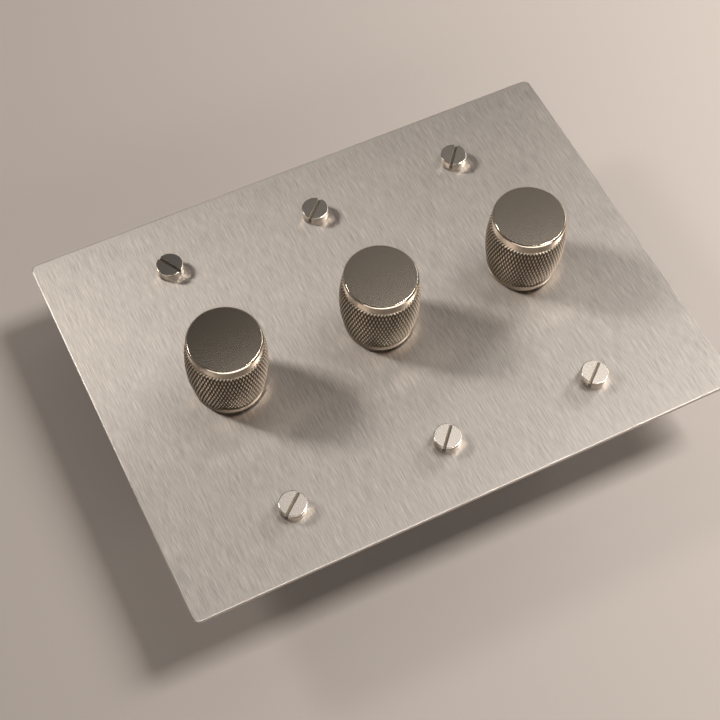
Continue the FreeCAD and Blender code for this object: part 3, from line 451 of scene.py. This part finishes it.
def turned_nickel(name, base, roughness, grooves):
    """Satin metal with fine rings round the piece's own axis, rougher where cut, with painted shade
    darkening its grooves.
    """
    material = new_material(name, base, metallic=1.0, roughness=roughness)
    place = own_place(material)
    flat = add_node(material, "Mapping", Vector=place, Scale=(1, 1, 0))
    radius = add_node(
        material, "VectorMath", {"operation": "LENGTH"}, input_0=flat.outputs["Vector"]).outputs["Value"]
    height = add_node(material, "SeparateXYZ", Vector=place).outputs["Z"]
    across = add_node(material, "CombineXYZ", X=radius, Y=0.0, Z=height).outputs["Vector"]
    rings = noise_pattern(material, across, stretch=EVEN, scale=9000)
    clouds = noise_pattern(material, place, stretch=EVEN, scale=700, detail=3.0)
    metal = shades(material, average(material, rings, clouds), base, dark=0.96, light=1.04)
    depth = add_node(material, "Attribute", {"attribute_name": "groove"}).outputs["Fac"]
    # Painted shade: by the groove attribute, grooves and slot floors are mixed towards the dark grooves
    # colour
    painted_groove_shade = map_range(material, depth, (LEFT_ROUGH, FULL_PAINTED_SHADE), (0.0, 1.0))
    feed(material, "Base Color", tint(material, painted_groove_shade, metal, (*grooves, 1)))
    polished = remap(material, clouds, roughness - 0.002, roughness + 0.002)
    rougher = map_range(material, depth, (BURNISHED, LEFT_ROUGH), (0.0, 0.22))
    feed(material, "Roughness", calculate(material, "ADD", polished, rougher))
    feed(material, "Normal", bump(material, rings, strength=0.02, distance=0.004 * MM))
    return material


def moulded_plastic(name, base, roughness, scale=2500):
    """Plastic with the fine even texture of its mould."""
    material = new_material(name, base, metallic=0.0, roughness=roughness)
    place = object_place(material)
    grains = noise_pattern(material, place, EVEN, scale)
    clouds = noise_pattern(material, place, stretch=EVEN, scale=90, detail=3.0)
    feed(material, "Base Color", shades(material, clouds, base, dark=0.88, light=1.12))
    feed(material, "Roughness", remap(material, grains, roughness - 0.06, roughness + 0.06))
    feed(material, "Normal", bump(material, grains, strength=0.5, distance=0.02 * MM))
    return material


def plain_metal(name, base, roughness, scale, stretch=EVEN):
    """Metal with a faint even grain, or faint lines where it is stretched, and broad stains."""
    material = new_material(name, base, metallic=1.0, roughness=roughness)
    place = object_place(material)
    lines = noise_pattern(material, place, stretch, scale, detail=3.0)
    clouds = noise_pattern(material, place, stretch=EVEN, scale=60, detail=4.0)
    feed(material, "Base Color", shades(material, clouds, base, dark=0.85, light=1.08))
    lined = remap(material, lines, roughness - 0.05, roughness + 0.05)
    stained = remap(material, clouds, -0.04, 0.06)
    feed(material, "Roughness", calculate(material, "ADD", lined, stained))
    feed(material, "Normal", bump(material, lines, strength=0.25, distance=0.015 * MM))
    return material


def pressed_fibre(name, base):
    """Vulcanised fibre: short matted hairs."""
    material = new_material(name, base, metallic=0.0, roughness=0.8)
    place = object_place(material)
    hairs = noise_pattern(material, place, stretch=(1, 0.25, 1), scale=3200, detail=5.0, roughness=0.7)
    feed(material, "Base Color", shades(material, hairs, base, dark=0.7, light=1.3))
    feed(material, "Normal", bump(material, hairs, strength=0.6, distance=0.05 * MM))
    return material


def coated_board(name, base):
    """Green resist over faint copper tracks."""
    material = new_material(name, base, metallic=0.0, roughness=0.3)
    place = object_place(material)
    tracks = add_node(
        material, "TexVoronoi", {"distance": "MANHATTAN", "feature": "DISTANCE_TO_EDGE"},
        Vector=place, Scale=260)
    weave = noise_pattern(material, place, stretch=EVEN, scale=1800)
    copper = map_range(material, tracks.outputs["Distance"], (0.05, 0.09), (1.0, 0.0))
    feed(material, "Base Color", tint(material, copper, (*base, 1), shade(base, 1.9)))
    feed(material, "Roughness", remap(material, weave, 0.26, 0.36))
    woven = bump(material, weave, strength=0.2, distance=0.01 * MM)
    feed(material, "Normal", bump(material, copper, strength=0.4, distance=0.03 * MM, normal=woven))
    return material


# Pieces


class DIMMER_OT_plate(bpy.types.Operator):
    """Brushed nickel face plate with softened edges"""

    bl_idname = "dimmer.plate"
    bl_label = "Face plate"

    def execute(self, context):
        plate = softened_copy("face_plate", "face_plate_brushed", width=0.08 * MM)
        brushing = plate.data.uv_layers.new(name="brushing")
        for loop, corner in zip(plate.data.loops, brushing.data):
            corner.uv = plate.data.vertices[loop.vertex_index].co.xy
        cut_edge = plate.data.attributes.new("cut_edge", "FLOAT", "FACE")
        for polygon, entry in zip(plate.data.polygons, cut_edge.data):
            is_level = abs(polygon.normal.z) >= 0.999
            entry.value = float(not is_level)
        material = brushed_nickel("plate_brushed_nickel", context.scene.dimmer_colours.plate)
        settle(plate, "root", "plate_nickel", material, "face_plate")
        return {"FINISHED"}


class DIMMER_OT_knobs(bpy.types.Operator):
    """Turned and knurled metal knobs, one on each spindle"""

    bl_idname = "dimmer.knobs"
    bl_label = "Knurled knobs"

    def execute(self, context):
        sizes, colours = context.scene.dimmer_sizes, context.scene.dimmer_colours
        # This material paints shade into the knurl's grooves
        material = turned_nickel("knob_satin_nickel", colours.knob, roughness=0.17, grooves=colours.groove)
        pattern = self.turn_knob(sizes)
        self.knurl(pattern, sizes)
        keep_own_place(pattern)
        for gang in GANGS:
            low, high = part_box(f"knob_{gang}")
            knob = copy_of(pattern, f"knob_{gang}_knurled")
            smooth(knob, 20)
            set_in_place(knob, Matrix.Translation(foot_of(low, high)))
            settle(knob, f"dial_{gang}", "knob_nickel", material, f"knob_{gang}")
        bpy.data.objects.remove(pattern)
        return {"FINISHED"}

    def knurl_rings(self, sizes):
        """(radius, height) of each row of the knurl, on an arc through its foot, belly and top."""
        foot = Vector((sizes.knurl_foot_radius, 0))
        belly = Vector((sizes.knurl_belly_radius, sizes.knurl_belly_height))
        top = Vector((sizes.knurl_top_radius, sizes.knurl_height))
        points = (foot, belly, top)
        rises = (belly.y - top.y, top.y - foot.y, foot.y - belly.y)
        runs = (top.x - belly.x, foot.x - top.x, belly.x - foot.x)
        turn = 2 * sum(point.x * rise for point, rise in zip(points, rises))
        centre = Vector((
            sum(point.length_squared * rise for point, rise in zip(points, rises)) / turn,
            sum(point.length_squared * run for point, run in zip(points, runs)) / turn))
        bend = (belly - centre).length
        base = sizes.neck_height + sizes.rim_height
        rings = []
        for row in range(sizes.knurl_rows + 1):
            level = sizes.knurl_height * row / sizes.knurl_rows
            rings.append((centre.x + math.sqrt(bend ** 2 - (level - centre.y) ** 2), base + level))
        return rings

    def turn_knob(self, sizes):
        """The smooth knob, from the end of its socket down, round and up to its crown."""
        rim_top = sizes.neck_height + sizes.rim_height
        knurl_top = rim_top + sizes.knurl_height
        top = knurl_top + sizes.crown_height
        shoulder = (sizes.crown_radius, top - sizes.crown_bevel)
        lip = (sizes.crown_radius - sizes.crown_bevel, top)
        profile = [
            (0, sizes.socket_height), (sizes.socket_radius, sizes.socket_height),
            (sizes.socket_radius, sizes.recess_height), (sizes.recess_radius, sizes.recess_height),
            (sizes.recess_radius, 0), (sizes.neck_radius, 0), (sizes.neck_radius, sizes.neck_height),
            (sizes.rim_radius, sizes.neck_height), (sizes.rim_radius, rim_top),
            *self.knurl_rings(sizes),
            (sizes.crown_radius, knurl_top + sizes.knurl_chamfer), shoulder, lip, (0, top),
        ]
        knob = turn_piece("knob_pattern", profile, 2 * sizes.knurl_teeth)
        crown_rounding, foot_rounding, rim_rounding = 0.08 * MM, 0.15 * MM, 0.03 * MM
        rim = [(sizes.rim_radius, sizes.neck_height), (sizes.rim_radius, rim_top)]
        round_rings(knob, [shoulder, lip], crown_rounding)
        round_rings(knob, [(sizes.neck_radius, 0), (sizes.recess_radius, 0)], foot_rounding)
        round_rings(knob, rim, rim_rounding)
        return knob

    def knurl(self, knob, sizes):
        """Sinks every other vertex of the band, joins the sunk ones as grooves and flattens the points."""
        half_tooth = math.pi / sizes.knurl_teeth
        rings = self.knurl_rings(sizes)
        near = 0.02 * MM

        def row_of(place):
            for row, (radius, height) in enumerate(rings):
                if abs(place.z - height) < near and abs(radius_of(place) - radius) < near:
                    return row
            return None

        def is_sunk(place, row):
            step = round(math.atan2(place.y, place.x) / half_tooth)
            return (step + row) % 2 == 0

        edit(knob)
        mesh = bmesh.from_edit_mesh(knob.data)
        sunk, points = set(), set()
        for vertex in mesh.verts:
            row = row_of(vertex.co)
            if row is None:
                continue
            (sunk if is_sunk(vertex.co, row) else points).add(vertex.index)
        for radius, height in rings:
            pick(knob, lambda vertex: vertex.index in sunk and abs(vertex.co.z - height) < near)
            share = 1 - sizes.knurl_depth / radius
            bpy.ops.transform.resize(value=(share, share, 1), center_override=(0, 0, 0))
        pick(knob, lambda vertex: vertex.index in sunk)
        bpy.ops.mesh.vert_connect()
        stop_editing()
        base, top = rings[0][1], rings[-1][1]
        rough_below = base - 0.1 * MM

        # Groove vertices get the full painted shade in the material, and the points get none
        def depth_at(vertex):
            if vertex.index in sunk:
                return IN_GROOVE
            if vertex.index in points:
                return ON_POINT
            return LEFT_ROUGH if vertex.co.z < rough_below else BURNISHED

        mark_grooves(knob, depth_at)
        edit(knob)
        half_row = 0.5 * sizes.knurl_height / sizes.knurl_rows
        pick(knob, lambda vertex: vertex.index in points and base + half_row < vertex.co.z < top - half_row)
        bpy.ops.mesh.bevel(offset_type="PERCENT", offset_pct=20, affect="VERTICES")
        stop_editing()


class DIMMER_OT_face_screws(bpy.types.Operator):
    """Slotted face screws with real threads"""

    bl_idname = "dimmer.face_screws"
    bl_label = "Face screws"

    # How far each screw is turned, in degrees. The far row is 1 and the near row -1.
    turns = {
        ("left", 1): 119.4, ("middle", 1): 42.1, ("right", 1): 50.8,
        ("left", -1): 38.8, ("middle", -1): 47.9, ("right", -1): 39.8,
    }

    def execute(self, context):
        sizes = context.scene.dimmer_sizes
        pattern = self.make_screw(sizes)
        keep_own_place(pattern)
        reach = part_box("face_screws")[1]
        plate_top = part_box("face_plate")[1].z
        screws = []
        for (gang, side), degrees in self.turns.items():
            across = GANGS.index(gang) - 1
            x = across * (reach.x - sizes.head_radius)
            y = side * (reach.y - sizes.head_radius)
            screw = copy_of(pattern, f"face_screw_{gang}_{side}")
            turn = Matrix.Rotation(math.radians(degrees), 4, "Z")
            set_in_place(screw, Matrix.Translation((x, y, plate_top)) @ turn)
            screws.append(screw)
        bpy.data.objects.remove(pattern)
        piece = join(screws, "face_screws_slotted")
        smooth(piece, 30)
        colours = context.scene.dimmer_colours
        # This material paints shade onto the floors of the slots
        material = turned_nickel("screw_satin_nickel", colours.screw, roughness=0.24, grooves=colours.slot)
        settle(piece, "root", "screw_nickel", material, "face_screws")
        return {"FINISHED"}

    def make_screw(self, sizes):
        """One screw, with the underside of its head at the origin and its slot along X."""
        top = sizes.head_height
        end = -sizes.screw_length
        neck = -sizes.screw_neck_length
        tip_bevel, top_rounding, underside_rounding = 0.3 * MM, 0.25 * MM, 0.08 * MM
        profile = [
            (0, end), (sizes.screw_core - tip_bevel, end), (sizes.screw_core, end + tip_bevel),
            (sizes.screw_core, neck), (sizes.screw_neck, neck), (sizes.screw_neck, 0),
            (sizes.head_radius, 0), (sizes.head_radius, top), (0, top),
        ]
        screw = turn_piece("screw_pattern", profile, steps=96)
        join_flat_faces(screw)
        round_rings(screw, [(sizes.head_radius, top)], top_rounding, segments=4)
        round_rings(screw, [(sizes.head_radius, 0)], underside_rounding)
        self.cut_slot(screw, sizes)
        return join([screw, self.make_thread(sizes)], "screw_pattern")

    def cut_slot(self, screw, sizes):
        """Cuts the slot right across the head and rounds its two lips."""
        bpy.ops.object.select_all(action="DESELECT")
        bpy.ops.mesh.primitive_cube_add(size=1, location=(0, 0, sizes.head_height))
        cutter = bpy.context.object
        cutter.scale = (3 * sizes.head_radius, sizes.slot_width, 2 * sizes.slot_depth)
        bpy.ops.object.transform_apply(location=True, rotation=False, scale=True)
        only(screw)
        modifier = screw.modifiers.new("slot", "BOOLEAN")
        modifier.object = cutter
        modifier.operation = "DIFFERENCE"
        modifier.solver = "EXACT"
        bpy.ops.object.modifier_apply(modifier=modifier.name)
        bpy.data.objects.remove(cutter)
        half, near = sizes.slot_width / 2, 0.003 * MM

        def on_slot_lip(edge):
            flat = all(abs(vertex.co.z - sizes.head_height) < near for vertex in edge.verts)
            return flat and all(abs(abs(vertex.co.y) - half) < near for vertex in edge.verts)

        edit(screw, "EDGE")
        pick(screw, on_slot_lip, "edges")
        bpy.ops.mesh.bevel(offset=0.05 * MM, segments=2, affect="EDGES")
        stop_editing()
        slot_floor = sizes.head_height - sizes.slot_depth
        rough_below = sizes.head_height - 0.3 * MM

        def on_slot_floor(vertex):
            return abs(vertex.co.z - slot_floor) < 0.01 * MM and abs(vertex.co.y) < 1.01 * half

        # The slot floor gets the full painted shade in the material
        def depth_at(vertex):
            if on_slot_floor(vertex):
                return IN_GROOVE
            return LEFT_ROUGH if vertex.co.z < rough_below else BURNISHED

        mark_grooves(screw, depth_at)

    def make_thread(self, sizes):
        """A ridge of three sides, wound up the shank with a narrow root between its turns."""
        pitch, overlap, lead_in = sizes.thread_pitch, 0.05 * MM, 0.1 * MM
        root = 0.02 * pitch
        start = -sizes.screw_length + lead_in
        run = sizes.screw_length - sizes.screw_neck_length - pitch - lead_in
        bpy.ops.object.select_all(action="DESELECT")
        bpy.ops.mesh.primitive_circle_add(vertices=3, radius=pitch / 2)
        thread = bpy.context.object
        corners = [
            (sizes.screw_core - overlap, 0, start + root),
            (sizes.screw_radius, 0, start + pitch / 2),
            (sizes.screw_core - overlap, 0, start + pitch - root),
        ]
        for vertex, corner in zip(thread.data.vertices, corners):
            vertex.co = corner
        modifier = thread.modifiers.new("thread", "SCREW")
        modifier.steps = modifier.render_steps = 20
        modifier.iterations = int(run / pitch)
        modifier.screw_offset = pitch
        modifier.angle = math.tau
        bpy.ops.object.modifier_apply(modifier=modifier.name)
        edit(thread, "EDGE")
        pick(thread, lambda edge: edge.is_boundary, "edges")
        bpy.ops.mesh.edge_face_add()
        bpy.ops.mesh.select_all(action="SELECT")
        bpy.ops.mesh.normals_make_consistent(inside=False)
        stop_editing()
        return thread


class DIMMER_OT_drive(bpy.types.Operator):
    """Spindles, bushes, nuts, washers and the inserts inside the knobs"""

    bl_idname = "dimmer.drive"
    bl_label = "Spindles and bushes"

    def execute(self, context):
        brass = plain_metal("bush_brass", (0.60, 0.46, 0.22), roughness=0.28, scale=2600)
        zinc = plain_metal("zinc_plate", (0.62, 0.63, 0.64), roughness=0.34, scale=1800)
        spindle = plain_metal(
            "spindle_alloy", (0.64, 0.64, 0.63), roughness=0.25, scale=2400, stretch=(1, 1, 0.1))
        insert = moulded_plastic("insert_nylon", (0.035, 0.035, 0.035), roughness=0.42)
        dress("bush_nuts", brass)
        dress("bush_washers", zinc)
        for gang in GANGS:
            dress(f"threaded_bush_{gang}", brass)
            dress(f"spindle_{gang}", spindle)
            dress(f"knob_insert_{gang}", insert)
        return {"FINISHED"}


class DIMMER_OT_straps(bpy.types.Operator):
    """Aluminium mounting straps with their screws and fibre washers"""

    bl_idname = "dimmer.straps"
    bl_label = "Mounting straps"

    def execute(self, context):
        aluminium = plain_metal(
            "strap_aluminium", (0.66, 0.67, 0.68), roughness=0.33, scale=1500, stretch=(1, 0.06, 1))
        green = plain_metal("green_zinc", (0.04, 0.22, 0.07), roughness=0.3, scale=1800)
        fibre = pressed_fibre("red_fibre", (0.26, 0.06, 0.035))
        for gang in GANGS:
            node = f"mounting_strap_{gang}"
            strap = softened_copy(node, f"{node}_pressed", width=0.12 * MM)
            settle(strap, "root", "strap_aluminium", aluminium, node)
        dress("earth_screws", green)
        dress("screw_retainers", fibre)
        return {"FINISHED"}


class DIMMER_OT_housings(bpy.types.Operator):
    """Moulded housings with their terminal blocks and screws"""

    bl_idname = "dimmer.housings"
    bl_label = "Module housings"

    def execute(self, context):
        black = moulded_plastic("housing_plastic", (0.018, 0.018, 0.019), roughness=0.46)
        grey = moulded_plastic("terminal_plastic", (0.09, 0.095, 0.10), roughness=0.45)
        zinc = plain_metal("case_screw_zinc", (0.62, 0.63, 0.64), roughness=0.32, scale=1800)
        brass = plain_metal("terminal_brass", (0.60, 0.46, 0.22), roughness=0.3, scale=1800)
        for gang in GANGS:
            node = f"housing_{gang}"
            housing = softened_copy(node, f"{node}_moulded", width=0.25 * MM, segments=3)
            settle(housing, "root", "housing_plastic", black, node)
            node = f"terminal_block_{gang}"
            block = softened_copy(node, f"{node}_moulded", width=0.15 * MM)
            settle(block, "root", "terminal_plastic", grey, node)
        dress("case_screws", zinc)
        dress("terminal_screws", brass)
        return {"FINISHED"}


class DIMMER_OT_electronics(bpy.types.Operator):
    """Circuit boards with the choke, capacitor and power device"""

    bl_idname = "dimmer.electronics"
    bl_label = "Electronics"

    def execute(self, context):
        board = coated_board("board_resist", (0.02, 0.10, 0.045))
        moulding = moulded_plastic("device_moulding", (0.014, 0.014, 0.015), roughness=0.4)
        wire = plain_metal("enamelled_copper", (0.48, 0.16, 0.06), roughness=0.25, scale=900)
        dipped = moulded_plastic("capacitor_case", (0.42, 0.30, 0.05), roughness=0.3, scale=900)
        for gang in GANGS:
            for node, slot, material, width in (
                    ("circuit_board", "board_laminate", board, 0.08 * MM),
                    ("triac", "device_plastic", moulding, 0.06 * MM),
                    ("capacitor", "capacitor_case", dipped, 0.4 * MM)):
                piece = softened_copy(f"{node}_{gang}", f"{node}_{gang}_finished", width)
                settle(piece, "root", slot, material, f"{node}_{gang}")
            dress(f"choke_{gang}", wire)
        return {"FINISHED"}


class DIMMER_OT_switchgear(bpy.types.Operator):
    """Turning controls and push switches"""

    bl_idname = "dimmer.switchgear"
    bl_label = "Switchgear"

    def execute(self, context):
        control = moulded_plastic("control_plastic", (0.03, 0.032, 0.04), roughness=0.42)
        nylon = moulded_plastic("rotor_nylon", (0.62, 0.61, 0.56), roughness=0.4)
        blue = moulded_plastic("switch_plastic", (0.03, 0.06, 0.16), roughness=0.4)
        acetal = moulded_plastic("plunger_acetal", (0.55, 0.54, 0.50), roughness=0.35)
        steel = plain_metal("spring_steel", (0.50, 0.50, 0.51), roughness=0.25, scale=1800)
        for gang in GANGS:
            for node, slot, material in (
                    ("control_case", "control_plastic", control), ("switch_case", "switch_plastic", blue)):
                piece = softened_copy(f"{node}_{gang}", f"{node}_{gang}_moulded", width=0.12 * MM)
                settle(piece, "root", slot, material, f"{node}_{gang}")
            dress(f"wiper_rotor_{gang}", nylon)
            dress(f"switch_plunger_{gang}", acetal)
            self.add_spring(gang, steel)
        return {"FINISHED"}

    def add_spring(self, gang, material):
        """A coil spring, a smoothed copy of its CAD node."""
        node = f"switch_spring_{gang}"
        spring = copy_of(frame["nodes"][node], f"{node}_coiled")
        join_corners(spring)
        smooth(spring, 40)
        settle(spring, "root", "spring_steel", material, node)
        push = next(joint for joint in frame["joints"] if joint["name"] == f"push_{gang}")
        travel = max(abs(limit) for limit in push["range_m"])
        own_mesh(spring)


class DIMMER_OT_stage(bpy.types.Operator):
    """Plain pale floor, soft studio lamps and the camera"""

    bl_idname = "dimmer.stage"
    bl_label = "Stage"

    camera_place = Vector((-0.11386, -0.20156, 0.40536))
    camera_elevation = math.radians(59.72)
    camera_azimuth = math.radians(-28.29)
    camera_roll = math.radians(2.35)
    camera_lens = 77.88
    lamps = (
        # name, place, turn, width, height, watts, spread in degrees, colour. No turn: aimed at the origin.
        ("left_lamp", (-0.52, 0.47, 0.57), None, 0.16, 0.16, 2.6, 180, (1.0, 0.97, 0.93)),
        ("right_softbox", (0.95, 0.20, 0.42), None, 0.5, 0.22, 2.2, 180, (1.0, 0.98, 0.95)),
        ("overhead_strip", (0.62, -0.075, 1.0), (0, 0, 0), 0.6, 0.25, 9.1, 95, (1.0, 0.98, 0.95)),
        ("front_softbox", (-0.05, -0.9, 0.47), None, 1.5, 0.36, 4.6, 180, (1.0, 0.97, 0.93)),
        ("far_softbox", (0.30, 0.37, 1.0), (0, 0, 0), 0.54, 0.12, 0.38, 180, (1.0, 0.98, 0.96)),
        ("back_panel", (0.50, 0.64, 1.0), (0, 0, 0), 0.52, 0.34, 0.055, 180, (1.0, 0.98, 0.96)),
        ("left_softbox", (-0.85, -0.6, 0.55), None, 0.5, 0.24, 0.7, 180, (1.0, 0.97, 0.93)),
    )

    def execute(self, context):
        self.add_floor(context)
        for name, place, turn, *look in self.lamps:
            self.add_lamp(name, place, turn or Vector(place).to_track_quat("Z", "Y").to_euler(), *look)
        self.add_world(context)
        self.add_camera(context)
        context.scene.view_settings.view_transform = "Standard"
        return {"FINISHED"}

    def add_floor(self, context):
        """A wide square at height 0."""
        bpy.ops.object.select_all(action="DESELECT")
        bpy.ops.mesh.primitive_plane_add(size=8)
        floor = context.object
        floor.name = floor.data.name = "floor"
        cover(floor, new_material(
            "floor_plain", context.scene.dimmer_colours.floor, metallic=0.0, roughness=0.75))

    def add_lamp(self, name, place, turn, width, height, power, spread, tone):
        """A rectangular lamp. Its power is in watts."""
        bpy.ops.object.light_add(type="AREA", location=place, rotation=turn)
        lamp = bpy.context.object
        lamp.name = name
        lamp.data.shape = "RECTANGLE"
        lamp.data.size, lamp.data.size_y = width, height
        lamp.data.energy = power
        lamp.data.spread = math.radians(spread)
        lamp.data.color = tone

    def add_world(self, context):
        """Dim above, and paler near the horizon, as the walls of a room are."""
        world = bpy.data.worlds.new("studio")
        world.use_nodes = True
        background = world.node_tree.nodes["Background"]
        background.inputs["Color"].default_value = (0.62, 0.58, 0.54, 1)
        direction = add_node(world, "TexCoord").outputs["Generated"]
        height = add_node(world, "SeparateXYZ", Vector=direction).outputs["Z"]
        strength = map_range(world, height, (0.2, 0.75), (0.35, 0.06), interpolation_type="SMOOTHSTEP")
        world.node_tree.links.new(strength, background.inputs["Strength"])
        context.scene.world = world

    def add_camera(self, context):
        """Looks at the plate as the photograph does. Its sideways tilt is the roll."""
        back = Vector((
            math.sin(self.camera_azimuth) * math.cos(self.camera_elevation),
            -math.cos(self.camera_azimuth) * math.cos(self.camera_elevation),
            math.sin(self.camera_elevation)))
        level = Vector((0, 0, 1)).cross(back).normalized()
        upright = back.cross(level)
        right = math.cos(self.camera_roll) * level + math.sin(self.camera_roll) * upright
        up = math.cos(self.camera_roll) * upright - math.sin(self.camera_roll) * level
        turn = Matrix((right, up, back)).transposed()
        bpy.ops.object.camera_add(location=self.camera_place, rotation=turn.to_euler())
        camera = context.object
        camera.name = "photo_camera"
        camera.data.lens = self.camera_lens
        camera.data.clip_start, camera.data.clip_end = 0.01, 50
        context.scene.camera = camera


class DIMMER_PT_panel(bpy.types.Panel):
    """Lists the pieces with their sizes and colours"""

    bl_label = "Rotary dimmer switch"
    bl_idname = "DIMMER_PT_panel"
    bl_space_type = "VIEW_3D"
    bl_region_type = "UI"
    bl_category = "Dimmer"

    def draw(self, context):
        for group in (context.scene.dimmer_colours, context.scene.dimmer_sizes):
            box = self.layout.box()
            for name in group.__annotations__:
                box.prop(group, name)
        for operator in OPERATORS:
            self.layout.operator(operator.bl_idname)


OPERATORS = (
    DIMMER_OT_stage, DIMMER_OT_plate, DIMMER_OT_knobs, DIMMER_OT_face_screws, DIMMER_OT_drive,
    DIMMER_OT_straps, DIMMER_OT_housings, DIMMER_OT_electronics, DIMMER_OT_switchgear,
)
CLASSES = (DimmerSizes, DimmerColours, *OPERATORS, DIMMER_PT_panel)


def register():
    for item in CLASSES:
        bpy.utils.register_class(item)
    bpy.types.Scene.dimmer_sizes = PointerProperty(type=DimmerSizes)
    bpy.types.Scene.dimmer_colours = PointerProperty(type=DimmerColours)


def unregister():
    del bpy.types.Scene.dimmer_colours
    del bpy.types.Scene.dimmer_sizes
    for item in reversed(CLASSES):
        bpy.utils.unregister_class(item)


def main():
    """Makes the pieces in order."""
    register()
    bpy.ops.dimmer.stage()
    bpy.ops.dimmer.plate()
    bpy.ops.dimmer.knobs()
    bpy.ops.dimmer.face_screws()
    bpy.ops.dimmer.drive()
    bpy.ops.dimmer.straps()
    bpy.ops.dimmer.housings()
    bpy.ops.dimmer.electronics()
    bpy.ops.dimmer.switchgear()


if __name__ == "__main__":
    main()
